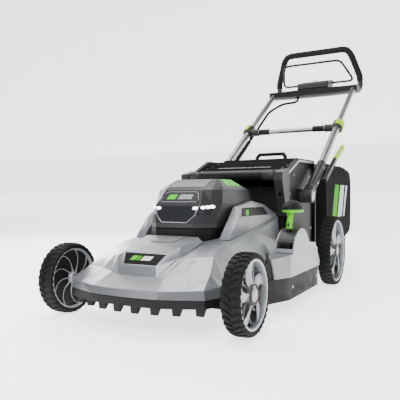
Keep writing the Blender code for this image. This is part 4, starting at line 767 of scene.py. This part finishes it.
name_plate = [[on_hood(1, u * w, v) for u in (-1.0, -0.5, 0.0, 0.5, 1.0)]
              for w, v in ((0.80, 0.16), (0.90, 0.30), (0.84, 0.72), (0.70, 0.84))]
keep("hood_blank_plate", softened(plate_over(name_plate, (0.0, -0.79, 0.61), 0.0010), 0.0005), charcoal,
     "battery_hood_body")
plate_line = [on_hood(1, u, v) + Vector((0.0, -0.79, 0.61)) * 0.0012 for u, v in
              ((-0.90, 0.30), (-0.80, 0.16), (0.0, 0.16), (0.80, 0.16), (0.90, 0.30), (0.84, 0.72),
               (0.70, 0.84), (0.0, 0.84),
               (-0.70, 0.84), (-0.84, 0.72))]
keep("hood_plate_rim", thread(plate_line, 0.0008, 8, True), bright_rim, "battery_hood_body")
pale_bar = [[on_hood(1, u + lean, v) for u in (-0.08, 0.20, 0.56)] for v,
            lean in ((0.34, 0.0), (0.66, 0.06))]
keep("hood_pale_bar", plate_over(pale_bar, (0.0, -0.79, 0.61), 0.0015), bright_rim, "battery_hood_body")
plate_bar = [[on_hood(1, u + lean, v) for u in (-0.62, -0.20)] for v, lean in ((0.34, 0.0), (0.66, 0.06))]
keep("hood_plate_bar", plate_over(plate_bar, (0.0, -0.79, 0.61), 0.0015), leaf_green, "battery_hood_body")

shoulder = [at(0.106, 0.290, 0.3450), at(0.103, 0.375, 0.3450), at(0.073, 0.335, 0.3700),
            at(0.073, 0.290, 0.3700)]
front_shoulder = [at(0.100, 0.222, 0.3450), at(0.106, 0.290, 0.3450), at(0.073, 0.290, 0.3700),
                  at(0.071, 0.257, 0.3700)]
inlays = []
for facet, spans in ((front_shoulder, ((0.40, 0.96),)), (shoulder, ((0.03, 0.40), (0.48, 0.88)))):
    for start, end in spans:
        rows = []
        for v in (0.22, 0.60, 0.97):
            rows.append([lerp(lerp(facet[0], facet[1], u), lerp(facet[3], facet[2], u), v)
                         for u in (start, end)])
        inlays.append(plate_over(rows, (0.60, -0.05, 0.80), 0.0010))
keep("hood_green_inlays", both_sides(joined(*inlays)), leaf_green, "battery_hood_body")

pod_out = Vector((0.94, 0.0, 0.342))
pod_rows = []
for z, front, back in ((0.2578, 0.240, 0.456), (0.2720, 0.253, 0.448), (0.2868, 0.267, 0.430)):
    pod_rows.append([at(0.1475 - 0.364 * (z - 0.262), front + (back - front) * t, z)
                     for t in (0.0, 0.5, 1.0)])
keep("pod_panels", both_sides(softened(plate_over(pod_rows, pod_out, 0.0009), 0.0004)), gloss_black, "deck")
accent = [[at(0.1475 - 0.364 * (z - 0.262), 0.282 + shift, z),
           at(0.1475 - 0.364 * (z - 0.262), 0.300 + shift, z)]
          for z, shift in ((0.2645, -0.004), (0.2800, 0.010))]
keep("pod_accents", both_sides(plate_over(accent, pod_out, 0.0013)), leaf_green, "deck")

# The battery pack slides into its bay from above: charcoal case, green lift strap and gauge lamps.
moulded("battery_pack", "deck", charcoal, 0.0010)
pack_low, pack_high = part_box("battery_pack")
pack_mid = (pack_low[1] + pack_high[1]) / 2
strap = [[Vector((x, pack_mid + y, pack_high[2])) for x in (-0.040, 0.0, 0.040)] for y in (-0.011, 0.011)]
keep("pack_lift_strap", softened(plate_over(strap, (0, 0, 1), 0.0026), 0.0010), leaf_green, "deck")
in_row = Pattern("set_in_a_row", Count="Int", Step="Vector", Finish="Material")
slots = in_row.node("GeometryNodeMeshLine", None, {
    "Count": in_row.size("Count"), "Offset": in_row.size("Step")})
in_row.close(in_row.node("GeometryNodeInstanceOnPoints", None,
                         {"Points": slots, "Instance": in_row.size("Geometry")}))
fin = plate_over([[Vector((x, pack_mid + y, pack_high[2])) for x in (-0.052, 0.052)]
                  for y in (0.0300, 0.0330)],
                 (0, 0, 1), 0.0016)
keep("pack_cooling_fins", laid_out(fin, in_row, charcoal, Count=7, Step=(0.0, 0.0075, 0.0)), charcoal,
     "deck")
gauge = lens(Vector((-0.012, pack_mid - 0.060, pack_high[2])), (0.0, -0.05, 1.0), 0.0028, 0.0028, 0.0010)
keep("pack_gauge_lamps", laid_out(gauge, in_row, lamp_white, Count=4, Step=(0.008, 0.0, 0.0)), lamp_white,
     "deck")

# ---------------- rear frame, door and chute
# Two black cheeks carry the rear axle and the folding handle. Grey pillars stand in front of them, and
# the ribbed door hangs between on a roll with grey end sleeves and a pale strip across its top.
for side, out in (("left", 1), ("right", -1)):
    moulded("rear_cheek_" + side, "deck", black_mould, 0.0016)
    moulded("handle_pillar_" + side, "deck", charcoal, 0.0016)
moulded("rear_door", "rear_door_body", black_mould, 0.0008)
cheek_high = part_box("rear_cheek_left")[1]
edge = [(0.5535, 0.4010), (0.668, 0.4490), (0.860, 0.4535)]
stripe = [[at(cheek_high[0], y, z - drop) for y, z in edge] for drop in (0.0075, 0.0)]
keep("cheek_stripes", both_sides(plate_over(stripe, (1, 0, 0), 0.0008)), bright_rim, "deck")

ROLL = at(0.0, 0.497, 0.389)
sleeves = []
for start, end in ((0.116, 0.1545), (-0.1545, -0.116)):
    profile = [(start, 0.0145), (start, 0.0162), (start + 0.0012, 0.0170), (end - 0.0012, 0.0170),
               (end, 0.0162),
               (end, 0.0145)]
    sleeves.append(turned_on_x(profile, ROLL, 48))
keep("roll_end_sleeves", joined(*sleeves), charcoal, "rear_door_body")
pale_strip = []
for start, end in ((-0.101, 0.031), (0.034, 0.101)):
    rows = [[at(x, y, z) for x in (start, end)] for y, z in ((0.6000, 0.4202), (0.6140, 0.4236))]
    pale_strip.append(softened(plate_over(rows, (0.0, -0.23, 0.97), 0.0014), 0.0005))
keep("door_pale_strip", joined(*pale_strip), bright_rim, "rear_door_body")
slat = plate_over([[at(x, y, z) for x in (-0.146, 0.146)] for y, z in ((0.6400, 0.4298), (0.6425, 0.4304))],
                  (0.0, -0.23, 0.97), 0.0020)
keep("door_slats", laid_out(slat, in_row, black_mould, Count=9, Step=(0.0, 0.0130, 0.00315)), black_mould,
     "rear_door_body")

screws_here = Pattern("screws_on_marks", Radius="Float", Depth="Float", Finish="Material")
shank = screws_here.node("GeometryNodeMeshCylinder", None,
                         {"Vertices": 16, "Radius": screws_here.size("Radius"),
                          "Depth": screws_here.size("Depth")})
socket = screws_here.node("GeometryNodeMeshCylinder", None,
                          {"Vertices": 6, "Radius": screws_here.size("Radius") * 0.5,
                           "Depth": screws_here.size("Depth") * 1.25})
raised = screws_here.node("GeometryNodeTransform", None,
                          {"Geometry": socket, "Translation": (0.0, 0.0, 0.0006)})
head = screws_here.node("GeometryNodeMeshBoolean", {"operation": "DIFFERENCE"},
                        {"Mesh 1": shank, "Mesh 2": raised})
screws_here.close(screws_here.node("GeometryNodeInstanceOnPoints", None,
                                   {"Points": screws_here.size("Geometry"), "Instance": head,
                                    "Rotation": (0.0, math.pi / 2, 0.0)}))


def marks(points):
    mesh = bpy.data.meshes.new("marks")
    mesh.from_pydata([tuple(p) for p in points], [], [])
    return mesh


def screws(name, points, body, radius=0.0042, depth=0.0026):
    """Socket-headed screws on both sides of the mower, facing sideways."""
    one_side = laid_out(marks(points), screws_here, zinc, Radius=radius, Depth=depth)
    keep(name, both_sides(smooth(one_side)), zinc, body)


screws("cheek_screws", [at(0.1725, y, z) + Vector((0.0006, 0, 0)) for y, z in
                        ((0.595, 0.150), (0.595, 0.330), (0.640, 0.395), (0.820, 0.395), (0.845, 0.200))],
                        "deck")
screws("skirt_screws", [at(0.2685, y, 0.062) for y in (0.330, 0.575)], "deck", 0.0038, 0.0022)
pivot_cap = [(0.2225, 0.0), (0.2225, 0.0165), (0.2250, 0.0165), (0.2262, 0.0150), (0.2262, 0.0070),
             (0.2250, 0.0062),
             (0.2250, 0.0)]
PIVOT = at(0.0, 0.700, 0.321)
keep("fold_pivot_caps", both_sides(turned_on_x(pivot_cap, PIVOT, 36)), zinc, "handle_lower")

# ---------------- handle tubes, clamps and levers
# Brushed, clear-anodised aluminium tubes telescope at two clamps. Charcoal sockets and clamps hold
# them, and yellow-green levers lock and release them.
SLOPE = math.radians(34)


def tube_finish(name, turn, stretch):
    """Anodised aluminium, brushed along the tube."""
    made = Finish(name, (0.42, 0.425, 0.435), 0.32, 1.0)
    brushed = made.grain(520.0, 3.0, made.spot(stretch, turn))
    cloud = made.grain(6.0, 3.0)
    made.paint(base_color=made.tint(cloud, (0.36, 0.365, 0.375), (0.47, 0.475, 0.485)),
               roughness=0.24 + brushed * 0.20 + made.grain(70.0, 5.0).over(0.66, 0.1) * 0.15)
    return made.relief(brushed, 0.00003)


along_tube = tube_finish("aluminium_along_tube", (-SLOPE, 0.0, 0.0), (1.0, 0.02, 1.0))
along_bar = tube_finish("aluminium_along_bar", (0.0, 0.0, 0.0), (0.02, 1.0, 1.0))
lime = Finish("lime_lever_plastic", (0.30, 0.56, 0.006), 0.36, specular_ior_level=0.12)
lime_drift = lime.grain(22.0, 4.0)
lime.paint(base_color=lime.tint(lime_drift, (0.26, 0.52, 0.003), (0.34, 0.62, 0.010)),
           roughness=0.24 + lime_drift * 0.18)
lime.relief(lime.cells(1200.0), 0.00004)
lever_low, lever_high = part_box("release_lever_left")
two_tone = Finish("lime_tip_on_black_lever", (0.20, 0.40, 0.01), 0.42, specular_ior_level=0.12)
tip = two_tone.axis("Y").over(lever_low[1] + (lever_high[1] - lever_low[1]) * 0.52, 0.0006)
tip_drift = two_tone.grain(22.0, 4.0)
two_tone.paint(base_color=two_tone.tint(tip, (0.008, 0.008, 0.009),
                                        two_tone.tint(tip_drift, (0.26, 0.52, 0.003), (0.34, 0.62, 0.010))),
               roughness=0.30 + tip_drift * 0.16)
two_tone.relief(two_tone.cells(1200.0), 0.00004)
for side in ("left", "right"):
    moulded("lower_tube_" + side, "handle_lower", along_tube, 0.0004, 45)
    moulded("upper_tube_" + side, "handle_upper", along_tube, 0.0004, 45)
    moulded("tube_socket_" + side, "handle_lower", charcoal, 0.0009, 35)
    moulded("handle_clamp_" + side, "handle_lower", charcoal, 0.0009, 35)
    moulded("cam_lever_" + side, f"cam_lever_{side}_body", lime, 0.0006, 35)
    moulded("release_lever_" + side, f"release_lever_{side}_body", two_tone, 0.0008)
    moulded("corner_bracket_" + side, "handle_upper", charcoal, 0.0009, 40)
moulded("crossbar", "handle_lower", along_bar, 0.0004, 45)
moulded("conduit_sleeve", "handle_lower", black_mould, 0.0005, 40)
moulded("control_bar", "handle_upper", black_mould, 0.0018, 20)
moulded("bail", "bail_body", ecoat, 0.0002, 60)

cross_low, cross_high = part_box("crossbar")
cross_mid = (Vector(cross_low) + Vector(cross_high)) / 2
grips = []
for start, end in ((0.100, 0.150), (-0.150, -0.100)):
    profile = [(start, 0.0112), (start + 0.001, 0.0132), (end - 0.001, 0.0132), (end, 0.0112)]
    grips.append(turned_on_x(profile, (0.0, cross_mid.y, cross_mid.z), 32))
keep("crossbar_sleeves", joined(*grips), black_mould, "handle_lower")


def on_tube(side, distance, lift=0.0, outward=0.0):
    """A place measured along a handle tube from the fold pivot, lifted square to the tube."""
    along = Vector((0.0, math.cos(SLOPE), math.sin(SLOPE)))
    square = Vector((0.0, -math.sin(SLOPE), math.cos(SLOPE)))
    return at(side * (0.205 + outward), 0.700, 0.321) + along * distance + square * lift


screws("socket_screws", [on_tube(1, d, 0.0, 0.0182) for d in (0.085, 0.190)], "handle_lower", 0.0034,
       0.0020)
screws("clamp_screws", [on_tube(1, d, 0.0, 0.0198) for d in (0.520, 0.566)], "handle_lower", 0.0030, 0.0018)

# The cable's conduit is corrugated black nylon: a smooth core with a close row of round ribs.
ribs_on_path = Pattern("ribs_on_a_path", Spacing="Float", Radius="Float", Width="Float", Finish="Material")
path = ribs_on_path.node("GeometryNodeMeshToCurve", None, {"Mesh": ribs_on_path.size("Geometry")})
stops = ribs_on_path.tree.nodes.new("GeometryNodeCurveToPoints")
stops.mode = "LENGTH"
ribs_on_path.put(stops, {"Curve": path, "Length": ribs_on_path.size("Spacing")})
disc = ribs_on_path.node("GeometryNodeMeshCylinder", None, {
    "Vertices": 14, "Radius": ribs_on_path.size("Radius"), "Depth": ribs_on_path.size("Width")})
ribs_on_path.close(ribs_on_path.node("GeometryNodeInstanceOnPoints", None, {
    "Points": Feed(ribs_on_path.tree, stops.outputs["Points"]), "Instance": disc,
    "Rotation": Feed(ribs_on_path.tree, stops.outputs["Rotation"])}))


def string_of(points):
    mesh = bpy.data.meshes.new("string")
    mesh.from_pydata([tuple(p) for p in points], [(i, i + 1) for i in range(len(points) - 1)], [])
    return mesh


def eased(points, step):
    """Points read along a Catmull-Rom curve through the route's own points."""
    route = [points[0] * 2 - points[1]] + points + [points[-1] * 2 - points[-2]]
    found = []
    for a, b, c, d in zip(route, route[1:], route[2:], route[3:]):
        count = max(1, round((c - b).length / step))
        for i in range(count):
            t = i / count
            found.append(0.5 * (2 * b + (c - a) * t + (2 * a - 5 * b + 4 * c - d) * t * t
                                + (3 * b - a - 3 * c + d) * t * t * t))
    return found + [points[-1]]


bend = eased([on_tube(1, 0.800, -0.030, -0.006), at(0.1820, 1.405, 0.7660), at(0.1400, 1.440, 0.7960),
              at(0.0950, 1.478, 0.8080), at(0.0760, 1.490, 0.8180)], 0.006)
conduit_line = [on_tube(1, 0.302 + 0.00996 * i, -0.030, -0.006)
                for i in range(50)] + bend + [at(0.0760, 1.490, 0.8325)]
conduit_line = [Vector((-p.x, p.y, p.z)) for p in conduit_line]
core = thread(conduit_line, 0.0050, 12)
keep("conduit_core", core, black_mould, "handle_upper", ["conduit"])
keep("conduit_ribs", laid_out(string_of(conduit_line), ribs_on_path, black_mould, Spacing=0.0030,
                              Radius=0.0060, Width=0.0016),
     black_mould, "handle_upper")

# ---------------- grips and controls
# Closed-cell foam covers the top loop. The charcoal switch box holds the start button, a charge
# window and a slotted speaker grille, and the thin bail swings in front of it.
foam = Finish("closed_cell_foam", (0.012, 0.012, 0.013), 0.92, specular_ior_level=0.15)
pores = foam.cells(700.0)
foam.paint(base_color=foam.tint(pores.over(0.35, 0.3), (0.018, 0.018, 0.019), (0.007, 0.007, 0.008)),
           roughness=0.84 + foam.grain(40.0) * 0.12)
foam.relief(pores * -1.0 + foam.grain(300.0, 3.0) * 0.4, 0.0003)
moulded("grip_loop", "handle_upper", foam, 0.0010, 60)
BAIL_RISE = Vector((0.0, -0.1250, 0.0800)).normalized()
bail_half = [at(x, 1.5970, 0.9170) + BAIL_RISE * reach for x, reach in
             ((0.066, 0), (0.160, 0), (0.174, 0.006), (0.179, 0.022), (0.152, 0.118), (0.140, 0.139),
              (0.114, 0.148), (0.0, 0.148))]
bail_line = eased(bail_half, 0.008)
bail_line += [Vector((-p.x, p.y, p.z)) for p in reversed(bail_line[:-1])]
keep("bail_dipped_sleeve", thread(bail_line, 0.0054, 14), black_mould, "bail_body")
moulded("switch_box", "handle_upper", charcoal, 0.0010)
moulded("start_button", "start_button_body", leaf_green, 0.0008, 40)
button_low, button_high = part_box("start_button")
button_mid = (Vector(button_low) + Vector(button_high)) / 2
hood_slope = (0.0, -0.20, 0.98)
screen = [[at(x, y, z) for x in (-0.062, -0.020)] for y, z in ((1.500, 0.9080), (1.534, 0.9149))]
keep("charge_window", softened(plate_over(screen, hood_slope, 0.0008), 0.0004), smoked, "handle_upper")
bar_lamp = lens(at(-0.055, 1.517, 0.9120), hood_slope, 0.0022, 0.0022, 0.0008)
keep("charge_lamps", laid_out(bar_lamp, in_row, leaf_green, Count=5, Step=(0.0065, 0.0, 0.0)), leaf_green,
     "handle_upper")
collar = []
for radius, rise in ((0.0098, -0.002), (0.0098, 0.0010), (0.0108, 0.0016), (0.0124, 0.0010),
                     (0.0124, -0.002)):
    collar.append([Vector((button_mid.x + radius * math.cos(a), button_mid.y + radius * math.sin(a),
                           at(0, 0, 0.9113).z + rise + 0.19 * radius * math.sin(a)))
                   for a in (2 * math.pi * k / 36 for k in range(36))])
keep("button_collar", smooth(skin_between(collar + collar[:1])), bright_rim, "handle_upper")
louvre = plate_over([[at(x, y, z) for x in (0.034, 0.066)] for y, z in ((1.500, 0.9080), (1.5025, 0.9085))],
                    hood_slope, 0.0010)
keep("switch_grille", laid_out(louvre, in_row, black_mould, Count=7, Step=(0.0, 0.0055, 0.0011)),
     black_mould,
     "handle_upper")

# ---------------- grass bag
# A soft bag of woven black polyester is sewn over a wire and hangs from a stiff moulded neck. Piping
# runs round its shoulder and its back, with stitches beside it, and a web handle is sewn on behind.
moulded("bag_frame", "bag_body", black_mould, 0.0012)
bag_low, bag_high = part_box("grass_bag")
BAG_SHAPE = ((0.0, 0.1575, 0.1405, 0.4430, 0.014), (0.060, 0.2045, 0.1130, 0.4465, 0.036),
             (0.215, 0.2045, 0.1090, 0.4690, 0.034), (0.455, 0.2045, 0.1130, 0.4690, 0.034),
             (0.550, 0.1970, 0.1300, 0.4600, 0.040), (0.5945, 0.1620, 0.1800, 0.4120, 0.050))


def bag_section(reach):
    """The bag's half width, bottom, top and corner radius at a distance behind its neck."""
    for first, second in zip(BAG_SHAPE, BAG_SHAPE[1:]):
        if reach <= second[0]:
            t = (reach - first[0]) / (second[0] - first[0])
            t = t * t * (3 - 2 * t) * 0.45 + t * 0.55
            return [a + (b - a) * t for a, b in zip(first[1:], second[1:])]
    return list(BAG_SHAPE[-1][1:])


def bag_ring(reach, shrink=1.0, count=128):
    """One ring of the cloth, with its belly, its sag and its folds."""
    half, low, high, corner = bag_section(reach)
    middle = (low + high) / 2
    tall = (high - low) / 2
    ring = []
    for i in range(count):
        a = 2 * math.pi * (i + 0.5) / count
        c, s = math.cos(a), math.sin(a)
        power = 2 / (2 + 9 * (1 - corner * 9))
        x = half * math.copysign(abs(c) ** power, c)
        z = tall * math.copysign(abs(s) ** power, s)
        belly = math.sin(math.pi * min(1.0, reach / 0.59)) ** 0.7
        side_pull = belly * (1 - (abs(z) / tall) ** 2) * (abs(x) / half) ** 6
        roof_pull = belly * (1 - (abs(x) / half) ** 2) * (abs(z) / tall) ** 6
        x -= math.copysign(0.0060 * side_pull, x)
        z -= 0.0090 * roof_pull if z > 0 else 0.0040 * roof_pull
        place = Vector((x * shrink, bag_low[1] + reach, middle + z * shrink))
        outward = Vector((x / half, 0.0, z / tall)).normalized()
        crease = Vector((place.x * 9, place.y * 34, place.z * 9))
        fold = noise.noise(place * 13.0) * 0.0030 + noise.noise(crease) * 0.0014
        near_neck = math.exp(-((reach - 0.055) / 0.05) ** 2)
        fold += near_neck * 0.0022 * math.sin(a * 22 + reach * 40) * (1 if reach > 0.004 else 0)
        calm = min(1.0, reach / 0.03)
        ring.append(place + outward * (fold * calm - 0.0012))
    return ring


RING_STEPS = 66
rings = [bag_ring(0.0006 + 0.5939 * (i / RING_STEPS)) for i in range(RING_STEPS + 1)]
for shrink, back in ((0.94, 0.0022), (0.82, 0.0040), (0.62, 0.0036), (0.40, 0.0022), (0.20, 0.0012),
                     (0.06, 0.0008)):
    rings.append([p + Vector((0, back, 0)) for p in bag_ring(0.5944, shrink)])
bm = bmesh.new()
grid = [[bm.verts.new(p) for p in ring] for ring in rings]
cloth_map = bm.loops.layers.uv.new("cloth")
GIRTH = 1.28
ROW_HEIGHT = 0.009
for i, (row, following) in enumerate(zip(grid, grid[1:])):
    for k in range(len(row)):
        j = (k + 1) % len(row)
        face = bm.faces.new((row[k], row[j], following[j], following[k]))
        for loop, (u, v) in zip(face.loops, ((k, i), (k + 1, i), (k + 1, i + 1), (k, i + 1))):
            loop[cloth_map].uv = (u / len(row) * GIRTH, v * ROW_HEIGHT)
last = bm.faces.new(grid[-1])
for loop in last.loops:
    loop[cloth_map].uv = (0.3, 0.66)
bmesh.ops.recalc_face_normals(bm, faces=bm.faces)
bag_mesh = bpy.data.meshes.new("bag_cloth")
bm.to_mesh(bag_mesh)
bm.free()
bag_mesh.shade_smooth()
bag_blank = bpy.data.objects.new("bag_blank", bag_mesh)
bpy.context.scene.collection.objects.link(bag_blank)
wall = bag_blank.modifiers.new("cloth", "SOLIDIFY")
wall.thickness = 0.0014
wall.offset = -1.0

fabric = Finish("woven_bag_polyester", (0.012, 0.012, 0.013), 0.85, specular_ior_level=0.05)
THREAD = 0.0016
cloth_uv = fabric.node("ShaderNodeUVMap", {"uv_map": "cloth"})
over_under = fabric.node("ShaderNodeTexChecker", None, {"Vector": cloth_uv, "Scale": 1 / THREAD}, "Fac")
warp_at = fabric.node("ShaderNodeSeparateXYZ", None, {"Vector": cloth_uv}, "X")
weft_at = fabric.node("ShaderNodeSeparateXYZ", None, {"Vector": cloth_uv}, "Y")
warp = (warp_at * (math.pi / THREAD)).math("SINE").math("ABSOLUTE")
weft = (weft_at * (math.pi / THREAD)).math("SINE").math("ABSOLUTE")
weave = warp * over_under + weft * (1 - over_under)
faded = fabric.grain(5.0, 4.0)
height_up = fabric.axis("Z")
run = fabric.axis("Y") - height_up * 0.35
MARK_LOW, MARK_HIGH, MARK_EDGE = 0.232, 0.372, 0.0015
on_side = fabric.axis("X").math("ABSOLUTE").over(0.186, 0.004)
printed = on_side * height_up.over(MARK_LOW, MARK_EDGE) * height_up.under(MARK_HIGH, MARK_EDGE)
first_bar = bag_low[1] + 0.100
cloth_black = fabric.tint(faded, (0.004, 0.004, 0.0045), (0.009, 0.009, 0.0095))
cloth_black = fabric.tint(weave.under(0.35, 0.3) * 0.5, cloth_black, (0.003, 0.003, 0.003))
green_bar = printed * run.over(first_bar, 0.001) * run.under(first_bar + 0.075, 0.001)
pale_bars = printed * (run.over(first_bar + 0.100, 0.001) * run.under(first_bar + 0.175, 0.001)
                       + run.over(first_bar + 0.200, 0.001) * run.under(first_bar + 0.230, 0.001))
skin = fabric.tint(green_bar, cloth_black, (0.050, 0.36, 0.004))
skin = fabric.tint(pale_bars, skin, (0.62, 0.63, 0.64))
fabric.paint(base_color=skin, roughness=0.80 + faded * 0.12 - (green_bar + pale_bars) * 0.25)
fabric.relief(weave, 0.0003)
keep("bag_cloth", plain(bag_blank), fabric, "bag_body", ["grass_bag"])

piping = Finish("black_piping_web", (0.010, 0.010, 0.011), 0.75, sheen_weight=0.1, specular_ior_level=0.15)
piping_rib = piping.grain(900.0, 2.0)
piping.paint(base_color=piping.tint(piping_rib, (0.007, 0.007, 0.008), (0.017, 0.017, 0.018)),
             roughness=0.66 + piping_rib * 0.2)
piping.relief(piping_rib, 0.0002)
seams = []
stitch_lines = []
for reach, gap in ((0.062, 0.010), (0.545, -0.010)):
    seams.append(thread([p + (p - Vector((0, p.y, 0.29))).normalized() * 0.0012 for p in bag_ring(reach)],
                        0.0030, 8, True))
    line = [p + (p - Vector((0, p.y, 0.29))).normalized() * 0.0010 for p in bag_ring(reach + gap)]
    stitch_lines.append(laid_out(string_of(line + line[:1]), ribs_on_path, piping, Spacing=0.0075,
                                 Radius=0.0006, Width=0.0048))
keep("bag_piping", joined(*seams), piping, "bag_body")
thread_grey = Finish("grey_sewing_thread", (0.10, 0.10, 0.105), 0.7)
thread_grey.paint(roughness=0.60 + thread_grey.grain(800.0) * 0.2)
thread_grey.relief(thread_grey.grain(1500.0), 0.0001)
keep("bag_stitches", joined(*stitch_lines), thread_grey, "bag_body")

strap_rows = []
for i in range(17):
    t = i / 16
    x = -0.062 + 0.124 * t
    y = bag_high[1] + 0.0045 + 0.020 * math.sin(math.pi * min(1.0, max(0.0, (t - 0.12) / 0.76)))
    strap_rows.append([Vector((x, y + deep, 0.330 + tall)) for deep, tall in
                       ((0.0, -0.014), (0.0018, -0.014), (0.0018, 0.014), (0.0, 0.014))])
keep("bag_web_handle", smooth(skin_between(strap_rows, caps=True)), piping, "bag_body")
hanger = [[Vector((0.150, bag_low[1] - y, z)) for y in (0.150, 0.010)] for z in (0.395, 0.407)]
hanger_bar = softened(plate_over(hanger, (1, 0, 0), 0.0090, -0.0080), 0.0005)
keep("bag_hanger_bars", both_sides(hanger_bar), zinc, "bag_body")
